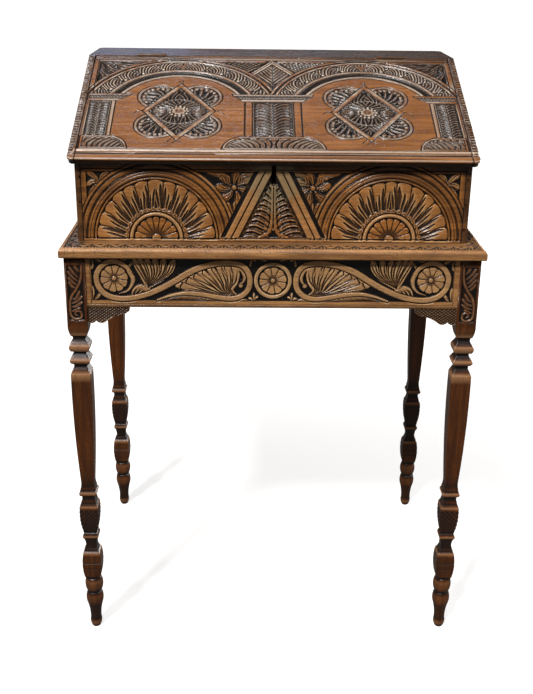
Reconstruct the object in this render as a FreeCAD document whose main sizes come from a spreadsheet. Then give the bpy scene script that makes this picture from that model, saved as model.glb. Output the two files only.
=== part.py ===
import FreeCAD, Part
import os
import re

import Sketcher
from FreeCAD import Placement, Rotation, Vector

# Carved oak bible box with a sloping lid, standing on a four-legged oak stand.
# Millimetres, +X right, +Y to the back, +Z up, origin on the floor under the middle of the stand.

document = FreeCAD.newDocument("BibleBoxOnStand")
sheet = document.addObject("Spreadsheet::Sheet", "sizes")

# Driving dimensions: alias, value and what it measures. Lengths in millimetres, angles in degrees.
size_rows = (
    ("frame_width", 660, "outside of the legs, left to right"),
    ("frame_depth", 475, "outside of the legs, front to back"),
    ("leg_height", 702, "floor to the underside of the stand's top"),
    ("leg_stock", 33, "square section of a leg"),
    ("stand_top_thickness", 16, "board that the box stands on"),
    ("stand_top_side_overhang", 6, "past the legs at the sides"),
    ("stand_top_front_overhang", 10, "past the legs at front and back"),
    ("stand_top_nose_radius", 6, "upper edge of the board"),
    ("stand_top_under_radius", 3, "lower edge of the board"),
    ("stand_top_groove_inset", 8, "edge of the board to the cut line"),
    ("stand_top_groove_width", 2.5, "cut line round the board"),
    ("stand_top_groove_depth", 1.2, "cut line round the board"),
    ("apron_height", 78, "rails under the top"),
    ("apron_thickness", 18, "rails under the top"),
    ("apron_setback", 2.5, "rail face behind the leg face"),
    ("tenon_thickness", 8, "rail tenons"),
    ("tenon_length", 16, "rail tenons"),
    ("tenon_shoulder", 7, "rail edge to tenon edge, above and below"),
    ("peg_radius", 3, "oak pegs through the tenons"),
    ("peg_stop", 5, "wood left between a peg and the show face"),
    ("bead_height", 5.5, "strip under the front rail"),
    ("bead_depth", 14, "strip under the front rail"),
    ("bead_proud", 1, "strip past the rail's face"),
    ("bead_radius", 2, "front edges of the strip"),
    ("bracket_width", 67, "carved bracket beside each front leg"),
    ("bracket_height", 27.5, "carved bracket beside each front leg"),
    ("bracket_thickness", 12, "carved bracket beside each front leg"),
    ("block_length", 45, "glue blocks inside the rails"),
    ("block_section", 16, "glue blocks inside the rails"),
    ("block_screw_radius", 2, "screws that hold the stand's top"),
    ("block_screw_head_radius", 4, "screws that hold the stand's top"),
    ("block_screw_head_height", 2.2, "countersunk head"),
    ("block_screw_bite", 10, "screw length in the stand's top"),
    ("box_side_margin", 25, "side edge of the stand's top to the box"),
    ("box_back_margin", 36, "rear edge of the stand's top to the box"),
    ("box_height", 261.5, "stand's top to the flat top of the box"),
    ("box_setback", 48, "front edge of the stand's top to the box front"),
    ("front_thickness", 14, "front board"),
    ("side_thickness", 12, "side boards"),
    ("back_thickness", 12, "back board"),
    ("bottom_thickness", 10, "bottom board"),
    ("rebate_depth", 7, "rebates that take the side boards"),
    ("lid_side_overhang", 9, "lid and flat top past the box's sides"),
    ("lid_thickness", 16, "lid and flat top"),
    ("lid_front_overhang", 21.8, "past the front board, down the slope"),
    ("lid_slope", 23.65, "degrees from level"),
    ("lid_quirk_inset", 18, "nose of the lid to the cut line"),
    ("lid_quirk_width", 2.5, "cut line across the lid"),
    ("lid_quirk_depth", 1.5, "cut line across the lid"),
    ("lid_nose_radius", 4, "upper edge of the nose"),
    ("lid_under_radius", 5, "lower edge of the nose"),
    ("flat_top_depth", 142, "fixed board behind the lid"),
    ("flat_top_overhang", 0.5, "past the back board"),
    ("flat_top_corner_radius", 10, "rear corners, seen from above"),
    ("hinge_inset", 110, "lid end to the middle of a hinge"),
    ("hinge_length", 50, "iron butt hinge"),
    ("hinge_knuckle_radius", 3.2, "iron butt hinge"),
    ("hinge_pin_radius", 1.5, "iron butt hinge"),
    ("hinge_pin_head_radius", 2.6, "peened ends of the pin"),
    ("hinge_pin_head_length", 1, "peened ends of the pin"),
    ("hinge_leaf_width", 13, "pin to the leaf's edge"),
    ("hinge_leaf_thickness", 1.6, "iron butt hinge"),
    ("hinge_screw_radius", 1.5, "hinge screws"),
    ("hinge_screw_head_radius", 2.7, "hinge screws"),
    ("hinge_screw_length", 14, "hinge screws"),
    ("hinge_screw_drop", 8.2, "pin to the row of screws"),
    ("keyhole_width", 7, "slot in the front board's upper edge and in the lock plate"),
    ("keyhole_height", 33, "slot in the front board's upper edge and in the lock plate"),
    ("lock_plate_width", 72, "iron plate on the inside of the front"),
    ("lock_plate_height", 50, "iron plate on the inside of the front"),
    ("lock_sheet", 1.5, "iron sheet of the plate, case and staple plate"),
    ("lock_drop", 1.5, "upper edge of the front to the lock"),
    ("lock_case_width", 54, "case of the lock"),
    ("lock_case_height", 40, "case of the lock"),
    ("lock_case_depth", 24, "case of the lock"),
    ("lock_rib", 2, "guides of the bolt"),
    ("lock_rib_reach", 9, "middle of the lock to the inner guides"),
    ("lock_pin_radius", 1.5, "pin that carries the key"),
    ("lock_pin_drop", 30, "upper edge of the lock to the key pin"),
    ("bolt_length", 20.5, "bolt of the lock"),
    ("bolt_height", 6, "bolt of the lock"),
    ("bolt_depth", 4, "bolt of the lock"),
    ("bolt_drop", 7.5, "upper edge of the lock to the bolt's middle"),
    ("bolt_tip", 4, "middle of the lock to the drawn bolt's tip"),
    ("staple_thickness", 2.5, "tongue under the lid"),
    ("staple_depth", 9, "tongue under the lid"),
    ("staple_set_in", 18, "inside of the front to the tongue's middle"),
    ("staple_below_bolt", 7, "bolt's middle to the tongue's tip"),
    ("staple_swing", 9, "room for the tongue's forward swing"),
    ("staple_plate_width", 32, "plate under the lid"),
    ("staple_plate_length", 31, "plate under the lid"),
    ("nail_radius", 1.2, "iron nails"),
    ("nail_head_radius", 2.4, "iron nails"),
    ("nail_head_height", 0.8, "iron nails"),
    ("nail_length", 26, "nails of the box"),
    ("lock_nail_length", 10, "nails of the lock and staple"),
    ("lock_nail_inset", 4.5, "plate edge to a nail"),
    ("glue_gap", 0.05, "fit of joints, pegs, nails and screws"),
    ("lid_gap", 0.3, "lid over the box's edges, and along its hinge edge"),
    ("hinge_gap", 0.3, "between the leaves and between the knuckles"),
    ("pin_gap", 0.05, "running fit of a knuckle on its pin"),
    ("bolt_gap", 0.3, "bolt in its guides"),
    ("overrun", 5, "how far a cut runs past the wood"),
)
for row, (alias, number, note) in enumerate(size_rows, 1):
    sheet.set(f"A{row}", alias)
    sheet.set(f"B{row}", str(number))
    sheet.set(f"C{row}", note)
    sheet.setAlias(f"B{row}", alias)
document.recompute()
aliases = {alias for alias, number, note in size_rows}

# Places worked out from the sizes, used by name in the formulas below.
places = {
    "leg_x": "frame_width / 2 - leg_stock / 2",
    "leg_y": "frame_depth / 2 - leg_stock / 2",
    "rail_span_x": "frame_width - 2 * leg_stock",
    "rail_span_y": "frame_depth - 2 * leg_stock",
    "rail_bottom": "leg_height - apron_height",
    "rail_inset": "apron_setback + apron_thickness / 2",
    "tenon_height": "apron_height - 2 * tenon_shoulder",
    "top_width": "frame_width + 2 * stand_top_side_overhang",
    "top_depth": "frame_depth + 2 * stand_top_front_overhang",
    "top_face": "leg_height + stand_top_thickness",
    "box_width": "top_width - 2 * box_side_margin",
    "box_depth": "top_depth - box_setback - box_back_margin",
    "lid_width": "box_width + 2 * lid_side_overhang",
    "lid_length": "(hinge_y - box_front_y) / cos(lid_slope) + lid_front_overhang",
    "box_front_y": "box_setback - top_depth / 2",
    "box_inner_y": "box_front_y + front_thickness",
    "box_back_y": "box_front_y + box_depth",
    "side_front_y": "box_inner_y - rebate_depth",
    "side_back_y": "box_back_y - back_thickness + rebate_depth",
    "nail_x": "box_width / 2 - side_thickness / 2",
    "hinge_y": "box_back_y + flat_top_overhang - flat_top_depth",
    "hinge_z": "top_face + box_height",
    "flat_under_z": "hinge_z - lid_thickness",
    "edge_drop": "(lid_thickness + lid_gap) / cos(lid_slope)",
    "slope_top_y": "hinge_y + (edge_drop - lid_thickness) / tan(lid_slope)",
    "front_outer_z": "hinge_z - edge_drop - (hinge_y - box_front_y) * tan(lid_slope)",
    "front_inner_z": "hinge_z - edge_drop - (hinge_y - box_inner_y) * tan(lid_slope)",
    "side_front_z": "hinge_z - edge_drop - (hinge_y - side_front_y) * tan(lid_slope)",
    "keyhole_z": "front_outer_z - keyhole_height",
    "mitre_set": "lid_gap / cos(lid_slope / 2)",
    "mitre_run": "lid_thickness * tan(lid_slope / 2)",
    "leaf_inner": "hinge_gap / 2",
    "leaf_outer": "leaf_inner + hinge_leaf_thickness",
    "hinge_x": "lid_width / 2 - hinge_inset",
    "lock_z": "front_inner_z - lock_drop",
    "case_front_y": "box_inner_y + lock_sheet",
    "bolt_z": "lock_z - bolt_drop",
    "staple_y": "box_inner_y + staple_set_in",
    "lid_under": "lid_thickness / cos(lid_slope)",
    "staple_sheet": "lock_sheet / cos(lid_slope)",
}


def expand(formula):
    """A formula with its places worked out and its sizes read from the sheet."""
    def swap(match):
        word = match.group(0)
        if word in places:
            return "(" + expand(places[word]) + ")"
        return "sizes." + word if word in aliases else word
    return re.sub(r"[a-z][a-z_]*", swap, formula)


def value(formula):
    """The length, in millimetres, that a formula gives."""
    return float(sheet.evalExpression(expand(formula)))


def bind(item, setting, formula):
    item.setExpression(setting, expand(formula))


def place(item, point, axis=None, angle=None, turn=None):
    """Put an item at a point of three formulas, turned about an axis or by a fixed rotation."""
    if axis is not None:
        item.Placement = Placement(Vector(), Rotation(axis, value(angle)))
        bind(item, "Placement.Rotation.Angle", angle)
    elif turn is not None:
        item.Placement = Placement(Vector(), turn)
    for letter, formula in zip("xyz", point):
        bind(item, f"Placement.Base.{letter}", formula)
    return item


# Turns that point a shape's own +Z along a row axis.
along = {
    "x": Rotation(Vector(0, 0, 1), Vector(1, 0, 0)),
    "-x": Rotation(Vector(0, 0, 1), Vector(-1, 0, 0)),
    "y": Rotation(Vector(0, 0, 1), Vector(0, 1, 0)),
    "-y": Rotation(Vector(0, 0, 1), Vector(0, -1, 0)),
    "z": Rotation(),
    "-z": Rotation(Vector(1, 0, 0), 180),
}


def block(name, centre, size):
    """A rectangular block about its middle."""
    item = document.addObject("Part::Box", name)
    for setting, formula in zip(("Length", "Width", "Height"), size):
        bind(item, setting, formula)
    return place(item, [f"({c}) - ({s}) / 2" for c, s in zip(centre, size)])


def span(name, low, high):
    """A rectangular block between two corners."""
    item = document.addObject("Part::Box", name)
    for setting, a, b in zip(("Length", "Width", "Height"), low, high):
        bind(item, setting, f"({b}) - ({a})")
    return place(item, low)


def rod(name, radius, length, start, direction):
    """A round rod from a point along a row axis."""
    item = document.addObject("Part::Cylinder", name)
    bind(item, "Radius", radius)
    bind(item, "Height", length)
    return place(item, start, turn=along[direction])


def cone(name, wide, narrow, length, start, direction):
    """A countersunk head, wide at its start."""
    item = document.addObject("Part::Cone", name)
    bind(item, "Radius1", wide)
    bind(item, "Radius2", narrow)
    bind(item, "Height", length)
    return place(item, start, turn=along[direction])


def fuse(name, items):
    item = document.addObject("Part::MultiFuse", name)
    item.Shapes = items
    return item


def group(name, items):
    """Separate solids under one name."""
    item = document.addObject("Part::Compound", name)
    item.Links = items
    return item


def cut(name, base, tool):
    item = document.addObject("Part::Cut", name)
    item.Base = base
    item.Tool = tool
    return item


def outline(body, plane_role, points):
    """A closed sketch of straight lines on a body's own plane, each corner bound to formulas."""
    sketch = body.newObject("Sketcher::SketchObject", "outline")
    plane = [item for item in body.Origin.OriginFeatures if item.Role == plane_role][0]
    sketch.AttachmentSupport = [(plane, "")]
    sketch.MapMode = "FlatFace"
    corners = [Vector(value(x), value(y), 0) for x, y in points]
    for number, corner in enumerate(corners):
        sketch.addGeometry(Part.LineSegment(corner, corners[(number + 1) % len(corners)]))
    for number in range(len(corners)):
        following = (number + 1) % len(corners)
        sketch.addConstraint(Sketcher.Constraint("Coincident", number, 2, following, 1))
    for number, (x, y) in enumerate(points):
        for kind, formula in (("DistanceX", x), ("DistanceY", y)):
            index = sketch.addConstraint(
                Sketcher.Constraint(kind, -1, 1, number, 1, value(formula)))
            bind(sketch, f"Constraints[{index}]", formula)
    return sketch


def rectangle(low, high):
    (x0, y0), (x1, y1) = low, high
    return [(x0, y0), (x1, y0), (x1, y1), (x0, y1)]


def new_body(name):
    return document.addObject("PartDesign::Body", name)


def pad(body, sketch, length, symmetric=False):
    feature = body.newObject("PartDesign::Pad", "pad")
    feature.Profile = sketch
    if symmetric:
        feature.SideType = "Symmetric"
    bind(feature, "Length", length)
    document.recompute()
    return feature


def pocket(body, sketch, length, reverse=False, symmetric=False):
    """Cut a sketch into the body, and make sure that it cut something."""
    before = body.Shape.Volume
    feature = body.newObject("PartDesign::Pocket", "pocket")
    feature.Profile = sketch
    feature.Reversed = reverse
    if symmetric:
        feature.SideType = "Symmetric"
    bind(feature, "Length", length)
    document.recompute()
    if body.Shape.Volume >= before:
        raise RuntimeError(f"a pocket in {body.Name} cuts nothing")
    return feature


def round_edges(body, radius, wanted):
    """Round the edges whose middle point a test picks."""
    base = body.Tip
    names = []
    for number, edge in enumerate(base.Shape.Edges, 1):
        middle = edge.valueAt((edge.FirstParameter + edge.LastParameter) / 2)
        if wanted(middle, edge):
            names.append(f"Edge{number}")
    feature = body.newObject("PartDesign::Fillet", "rounding")
    feature.Base = (base, names)
    bind(feature, "Radius", radius)
    document.recompute()
    return feature


def near(a, b):
    """True where two numbers are the same place."""
    return abs(a - b) < value("glue_gap")


subparts = []


def finish(item, name):
    """Name a finished sub-part."""
    item.Label = name
    subparts.append(item)
    return item


def solid_feature(name, shape):
    """A sub-part's shape made from points, for outlines with arcs."""
    item = document.addObject("Part::Feature", name)
    item.Shape = shape
    return item


def edges_through(start, steps):
    """Lines and three-point arcs from a start; a step is (end,) or (middle, end)."""
    edges = []
    here = start
    for step in steps:
        if len(step) == 1:
            edges.append(Part.LineSegment(here, step[0]).toShape())
        else:
            edges.append(Part.Arc(here, step[0], step[1]).toShape())
        here = step[-1]
    return edges


# The legs. Above the ball the section is square at every height, so a leg is what two
# crossed extrusions of one outline share. Heights are shares of the leg's height and
# half-widths are shares of half its stock. Steps with two points are arcs.
leg_start_shares = (1.0, 1.0)
leg_shares = (
    ((0.8405, 1.0),),
    ((0.8245, 0.97), (0.8105, 0.82)),
    ((0.8063, 0.64),), ((0.8006, 0.62),),
    ((0.7956, 0.72),), ((0.7934, 0.78),), ((0.7849, 0.99),),
    ((0.7785, 1.0), (0.7714, 0.88)),
    ((0.7692, 0.64),), ((0.7650, 0.62),),
    ((0.7607, 0.73),), ((0.7500, 1.0),),
    ((0.7450, 0.99), (0.7400, 0.84)),
    ((0.7379, 0.66),), ((0.7308, 0.65),),
    ((0.7265, 0.76),), ((0.7144, 0.99),),
    ((0.5769, 0.95), (0.4274, 0.67)),
    ((0.4217, 0.67),), ((0.4131, 0.71),), ((0.4088, 0.76),), ((0.4031, 0.77),), ((0.3981, 0.90),),
    ((0.3939, 0.91), (0.3896, 0.82)),
    ((0.3868, 0.66),), ((0.3789, 0.66),),
    ((0.3732, 0.74),), ((0.3675, 0.77),), ((0.3590, 0.95),),
    ((0.3348, 0.99), (0.2835, 0.69)),
    ((0.2806, 0.72),), ((0.2742, 0.83),), ((0.2707, 0.82),), ((0.2664, 0.70),),
    ((0.2540, 0.58), (0.2393, 0.60)),
    ((0.2350, 0.69),), ((0.2308, 0.72),), ((0.2265, 0.88),),
    ((0.1900, 1.0), (0.1581, 0.85)),
    ((0.1481, 0.70),),
)
ball_start_shares = (0.1524, 0.66)
ball_shares = (
    ((0.1500, 0.78),),
    ((0.1275, 0.97), (0.1070, 0.74)),
    ((0.1050, 0.80),),
    ((0.0905, 0.93), (0.0700, 0.80)),
    ((0.0480, 0.63), (0.0250, 0.59)),
    ((0.0090, 0.58), (0.0, 0.42)),
)


def leg_point(shares, side):
    return Vector(side * shares[1] * value("leg_stock") / 2, 0, shares[0] * value("leg_height"))


def leg_shape():
    stock = value("leg_stock")
    right = edges_through(leg_point(leg_start_shares, 1),
                          [[leg_point(p, 1) for p in step] for step in leg_shares])
    left = edges_through(leg_point(leg_start_shares, -1),
                         [[leg_point(p, -1) for p in step] for step in leg_shares])
    top = Part.LineSegment(leg_point(leg_start_shares, -1), leg_point(leg_start_shares, 1))
    foot = Part.LineSegment(leg_point(leg_shares[-1][-1], -1), leg_point(leg_shares[-1][-1], 1))
    face = Part.Face(Part.Wire(Part.__sortEdges__(right + left + [top.toShape(), foot.toShape()])))
    face.translate(Vector(0, -stock / 2, 0))
    front = face.extrude(Vector(0, stock, 0))
    side = front.copy()
    side.rotate(Vector(), Vector(0, 0, 1), 90)
    therm = front.common(side)
    # The ball and the peg foot are turned, so they are spun about the leg's own line.
    spun = edges_through(leg_point(ball_start_shares, 1),
                         [[leg_point(p, 1) for p in step] for step in ball_shares])
    axis_top = leg_point((ball_start_shares[0], 0), 1)
    axis_bottom = leg_point((ball_shares[-1][-1][0], 0), 1)
    spun.insert(0, Part.LineSegment(axis_top, leg_point(ball_start_shares, 1)).toShape())
    spun.append(Part.LineSegment(leg_point(ball_shares[-1][-1], 1), axis_bottom).toShape())
    spun.append(Part.LineSegment(axis_bottom, axis_top).toShape())
    turned = Part.Face(Part.Wire(spun)).revolve(Vector(), Vector(0, 0, 1), 360)
    return therm.fuse(turned).removeSplitter()


leg_names = {(-1, -1): "leg_front_left", (1, -1): "leg_front_right",
             (-1, 1): "leg_back_left", (1, 1): "leg_back_right"}
peg_shares = {"rail_x": (0.30, 0.66), "rail_y": (0.42, 0.78)}


def peg_rods(radius, name):
    """Two pegs for each of the eight tenons, driven from inside and stopping short of the face."""
    rods = []
    depth = "leg_stock - peg_stop"
    for x, y in leg_names:
        for share in peg_shares["rail_x"]:
            start = (f"{x} * (rail_span_x / 2 + tenon_length / 2)", f"{y} * rail_span_y / 2",
                     f"leg_height - {share} * apron_height")
            rods.append(rod(name, radius, depth, start, "y" if y > 0 else "-y"))
        for share in peg_shares["rail_y"]:
            start = (f"{x} * rail_span_x / 2", f"{y} * (rail_span_y / 2 + tenon_length / 2)",
                     f"leg_height - {share} * apron_height")
            rods.append(rod(name, radius, depth, start, "x" if x > 0 else "-x"))
    return rods


peg_bores = group("peg_bores", peg_rods("peg_radius + glue_gap", "bore"))
finish(group("tenon_pegs", peg_rods("peg_radius", "peg")), "tenon_pegs")


def tenon_middle(x, y, runs_along):
    """Middle of the tenon that a rail puts into the leg at signs x and y."""
    if runs_along == "x":
        return (f"{x} * (rail_span_x / 2 + tenon_length / 2)",
                f"{y} * (frame_depth / 2 - rail_inset)", "leg_height - apron_height / 2")
    return (f"{x} * (frame_width / 2 - rail_inset)",
            f"{y} * (rail_span_y / 2 + tenon_length / 2)", "leg_height - apron_height / 2")


def tenon_size(runs_along, gap):
    thick = f"tenon_thickness + {gap}"
    high = f"tenon_height + {gap}"
    if runs_along == "x":
        return (f"tenon_length + {gap}", thick, high)
    return (thick, f"tenon_length + {gap}", high)


def make_leg(x, y):
    name = leg_names[(x, y)]
    leg = solid_feature(name + "_turning", leg_shape())
    place(leg, (f"{x} * leg_x", f"{y} * leg_y", "0 * leg_height"))
    mortises = [block("mortise", tenon_middle(x, y, way), tenon_size(way, "2 * glue_gap"))
                for way in "xy"]
    tool = fuse(name + "_mortises", mortises + [peg_bores])
    finish(cut(name + "_mortised", leg, tool), name)


for x_sign, y_sign in leg_names:
    make_leg(x_sign, y_sign)


def make_rail(name, sign, runs_along):
    """A rail with a tenon at each end; sign is the side of the stand that it closes."""
    middle = "leg_height - apron_height / 2"
    if runs_along == "x":
        centre = ("0 * leg_stock", f"{sign} * (frame_depth / 2 - rail_inset)", middle)
        size = ("rail_span_x", "apron_thickness", "apron_height")
        ends = [(-1, sign), (1, sign)]
    else:
        centre = (f"{sign} * (frame_width / 2 - rail_inset)", "0 * leg_stock", middle)
        size = ("apron_thickness", "rail_span_y", "apron_height")
        ends = [(sign, -1), (sign, 1)]
    tenons = [block("tenon", tenon_middle(x, y, runs_along), tenon_size(runs_along, "0 * glue_gap"))
              for x, y in ends]
    board = fuse(name + "_tenoned", [block("rail", centre, size)] + tenons)
    finish(cut(name + "_bored", board, peg_bores), name)


make_rail("apron_front", -1, "x")
make_rail("apron_back", 1, "x")
make_rail("apron_left", -1, "y")
make_rail("apron_right", 1, "y")


def make_bead():
    """The strip under the front rail, with a rounded front."""
    body = new_body("bead")
    face = "apron_setback - bead_proud"
    sketch = outline(body, "YZ_Plane", rectangle(
        (face, "0 * bead_height"), (f"{face} + bead_depth", "bead_height")))
    pad(body, sketch, "rail_span_x", symmetric=True)
    front = value(face)
    round_edges(body, "bead_radius", lambda middle, edge: near(middle.y, front) and near(middle.x, 0))
    place(body, ("0 * bead_height", "-frame_depth / 2", "rail_bottom - bead_height"))
    finish(body, "apron_bead")


make_bead()

# Lower edge of a bracket, from the leg to its tip: shares of its width and its height.
bracket_start_shares = (0.0, 0.92)
bracket_shares = (
    ((0.10, 1.0), (0.20, 0.84)),
    ((0.32, 0.99), (0.46, 0.84)),
    ((0.66, 0.58), (0.90, 0.42)),
    ((1.0, 0.24),),
)


def make_bracket(name, sign):
    """A scalloped bracket between a front leg and the strip under the rail."""
    wide, high = value("bracket_width"), value("bracket_height")

    def point(shares):
        return Vector(-sign * shares[0] * wide, 0, -shares[1] * high)

    lower = edges_through(point(bracket_start_shares),
                          [[point(p) for p in step] for step in bracket_shares])
    tip = point(bracket_shares[-1][-1])
    lower.append(Part.LineSegment(tip, Vector(tip.x, 0, 0)).toShape())
    lower.append(Part.LineSegment(Vector(tip.x, 0, 0), Vector()).toShape())
    lower.append(Part.LineSegment(Vector(), point(bracket_start_shares)).toShape())
    bracket = solid_feature(name, Part.Face(Part.Wire(lower)).extrude(
        Vector(0, value("bracket_thickness"), 0)))
    place(bracket, (f"{sign} * rail_span_x / 2", "apron_setback - frame_depth / 2",
                    "rail_bottom - bead_height"))
    finish(bracket, name)


make_bracket("bracket_front_left", -1)
make_bracket("bracket_front_right", 1)

# Glue blocks inside the rails: share of the rail's half-length, and which rail.
block_places = ((-0.5, "front"), (0.5, "front"), (-0.5, "back"), (0.5, "back"),
                (0.0, "left"), (0.0, "right"))


def block_middle(share, rail):
    inside_y = "(frame_depth / 2 - apron_setback - apron_thickness - block_section / 2)"
    inside_x = "(frame_width / 2 - apron_setback - apron_thickness - block_section / 2)"
    level = "leg_height - block_section / 2"
    if rail in ("front", "back"):
        return (f"{share} * rail_span_x / 2", ("-" if rail == "front" else "") + inside_y, level)
    return (("-" if rail == "left" else "") + inside_x, f"{share} * rail_span_y / 2", level)


def block_screws(gap):
    """Countersunk screws up through the glue blocks into the stand's top."""
    screws = []
    for share, rail in block_places:
        x, y, level = block_middle(share, rail)
        start = (x, y, "leg_height - block_section")
        shank = rod("shank", f"block_screw_radius + {gap}", f"block_section + block_screw_bite + {gap}",
                    start, "z")
        head = cone("head", f"block_screw_head_radius + {gap}", f"block_screw_radius + {gap}",
                    "block_screw_head_height", start, "z")
        screws.append(fuse("block_screw", [shank, head]))
    return screws


screw_bores = group("screw_bores", block_screws("glue_gap"))
finish(group("top_screws", block_screws("0 * glue_gap")), "top_screws")
blocks = []
for share, rail in block_places:
    lengths = ["block_section"] * 3
    lengths[0 if rail in ("front", "back") else 1] = "block_length"
    blocks.append(block("glue_block", block_middle(share, rail), lengths))
finish(cut("glue_blocks_bored", group("glue_block_group", blocks), screw_bores), "glue_blocks")


def make_stand_top():
    """The board that the box stands on, with a rounded edge and a cut line round it."""
    body = new_body("stand_top_board")
    sketch = outline(body, "XY_Plane", rectangle(("-top_width / 2", "-top_depth / 2"),
                                                 ("top_width / 2", "top_depth / 2")))
    pad(body, sketch, "stand_top_thickness")
    thick = value("stand_top_thickness")
    round_edges(body, "stand_top_nose_radius", lambda middle, edge: near(middle.z, thick))
    round_edges(body, "stand_top_under_radius", lambda middle, edge: near(middle.z, 0))
    place(body, ("0 * leg_height", "0 * leg_height", "leg_height"))
    inset = "stand_top_groove_inset"
    level = "top_face - stand_top_groove_depth / 2"
    outer = block("line_outer", ("0 * leg_height", "0 * leg_height", level),
                  (f"top_width - 2 * {inset}", f"top_depth - 2 * {inset}", "stand_top_groove_depth"))
    room = f"2 * ({inset} + stand_top_groove_width)"
    inner = block("line_inner", ("0 * leg_height", "0 * leg_height", level),
                  (f"top_width - {room}", f"top_depth - {room}", "2 * stand_top_groove_depth"))
    tool = group("stand_top_cuts", [cut("cut_line", outer, inner), screw_bores])
    finish(cut("stand_top_grooved", body, tool), "stand_top")


make_stand_top()


def nails(gap, starts, length):
    """Nails with flat heads let in flush: starts are (point, direction) pairs."""
    made = []
    for start, direction in starts:
        shank = rod("nail", f"nail_radius + {gap}", f"{length} + {gap}", start, direction)
        head = rod("nail_head", f"nail_head_radius + {gap}", "nail_head_height", start, direction)
        made.append(fuse("driven_nail", [shank, head]))
    return made


carcase_shares = (0.18, 0.5, 0.82)
carcase_starts = []
for sign in (-1, 1):
    for share in carcase_shares:
        carcase_starts.append(((f"{sign} * nail_x", "box_front_y",
                                f"top_face + {share} * (front_outer_z - top_face)"), "y"))
        carcase_starts.append(((f"{sign} * nail_x", "box_back_y",
                                f"top_face + {share} * (flat_under_z - top_face)"), "-y"))
flat_nail_shares = (0.3, 0.8)
flat_starts = [((f"{sign} * nail_x", f"hinge_y + {share} * flat_top_depth", "hinge_z"), "-z")
               for sign in (-1, 1) for share in flat_nail_shares]
carcase_bores = group("carcase_bores", nails("glue_gap", carcase_starts, "nail_length"))
flat_bores = group("flat_bores", nails("glue_gap", flat_starts, "nail_length"))
finish(group("carcase_nails", nails("0 * glue_gap", carcase_starts, "nail_length")), "carcase_nails")
finish(group("flat_top_nails", nails("0 * glue_gap", flat_starts, "nail_length")), "flat_top_nails")
box_bores = group("box_bores", [carcase_bores, flat_bores])

lock_nail_starts = [((f"{sign} * (lock_plate_width / 2 - lock_nail_inset)",
                      "box_inner_y + lock_sheet", level), "-y")
                    for sign in (-1, 1)
                    for level in ("lock_z - lock_nail_inset",
                                  "lock_z - lock_plate_height + lock_nail_inset")]
lock_bores = group("lock_bores", nails("glue_gap", lock_nail_starts, "lock_nail_length"))
finish(group("lock_nails", nails("0 * glue_gap", lock_nail_starts, "lock_nail_length")), "lock_nails")


def make_front():
    """The front board: rebated ends for the sides, and a keyhole open at the upper edge."""
    body = new_body("front_board")
    pad(body, outline(body, "YZ_Plane", [
        ("box_front_y", "top_face"), ("box_inner_y", "top_face"),
        ("box_inner_y", "front_inner_z"), ("box_front_y", "front_outer_z")]),
        "box_width", symmetric=True)
    for sign in (-1, 1):
        pocket(body, outline(body, "XY_Plane", rectangle(
            (f"{sign} * (box_width / 2 - side_thickness)", "side_front_y"),
            (f"{sign} * (box_width / 2 + overrun)", "box_inner_y + overrun"))),
            "front_inner_z + overrun", reverse=True)
    pocket(body, outline(body, "XZ_Plane", rectangle(
        ("-keyhole_width / 2", "keyhole_z"), ("keyhole_width / 2", "front_inner_z + overrun"))),
        "2 * (box_depth + overrun)", symmetric=True)
    finish(cut("front_nailed", body, group("front_cuts", [carcase_bores, lock_bores])), "box_front")


def make_back():
    body = new_body("back_board")
    pad(body, outline(body, "XY_Plane", [
        ("-box_width / 2", "side_back_y"), ("side_thickness - box_width / 2", "side_back_y"),
        ("side_thickness - box_width / 2", "box_back_y - back_thickness"),
        ("box_width / 2 - side_thickness", "box_back_y - back_thickness"),
        ("box_width / 2 - side_thickness", "side_back_y"), ("box_width / 2", "side_back_y"),
        ("box_width / 2", "box_back_y"), ("-box_width / 2", "box_back_y")]),
        "flat_under_z - top_face")
    place(body, ("0 * box_width", "0 * box_width", "top_face"))
    finish(cut("back_nailed", body, carcase_bores), "box_back")


def make_side(name, sign):
    """A side board: its upper edge follows the lid, then runs level under the flat top."""
    body = new_body(name + "_board")
    pad(body, outline(body, "YZ_Plane", [
        ("side_front_y", "top_face"), ("side_back_y", "top_face"),
        ("side_back_y", "flat_under_z"), ("slope_top_y", "flat_under_z"),
        ("side_front_y", "side_front_z")]), "side_thickness", symmetric=True)
    place(body, (f"{sign} * nail_x", "0 * box_width", "0 * box_width"))
    finish(cut(name + "_nailed", body, box_bores), name)


make_front()
make_back()
make_side("box_side_left", -1)
make_side("box_side_right", 1)
finish(span("box_bottom", ("side_thickness - box_width / 2", "box_inner_y", "top_face"),
            ("box_width / 2 - side_thickness", "box_back_y - back_thickness",
             "top_face + bottom_thickness")), "box_bottom")

# The butt hinges are drawn about the pin: local +Y is square to the mitre, local -Z runs down it.
knuckle_shares = (0.0, 0.2, 0.4, 0.6, 0.8, 1.0)
hinge_screw_shares = (0.14, 0.5, 0.86)
tilt = Vector(1, 0, 0)


def in_hinge_frame(item):
    return place(item, ("0 * hinge_y", "hinge_y", "hinge_z"), axis=tilt, angle="lid_slope / 2")


def knuckle_span(number, middle):
    """Start and length formulas of one knuckle along the pin."""
    low, high = knuckle_shares[number], knuckle_shares[number + 1]
    start = f"{middle} + ({low} - 0.5) * hinge_length"
    if low > 0:
        start += " + hinge_gap / 2"
    ends = (low > 0) + (high < 1)
    return start, f"({high} - {low}) * hinge_length - {ends} * hinge_gap / 2"


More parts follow.
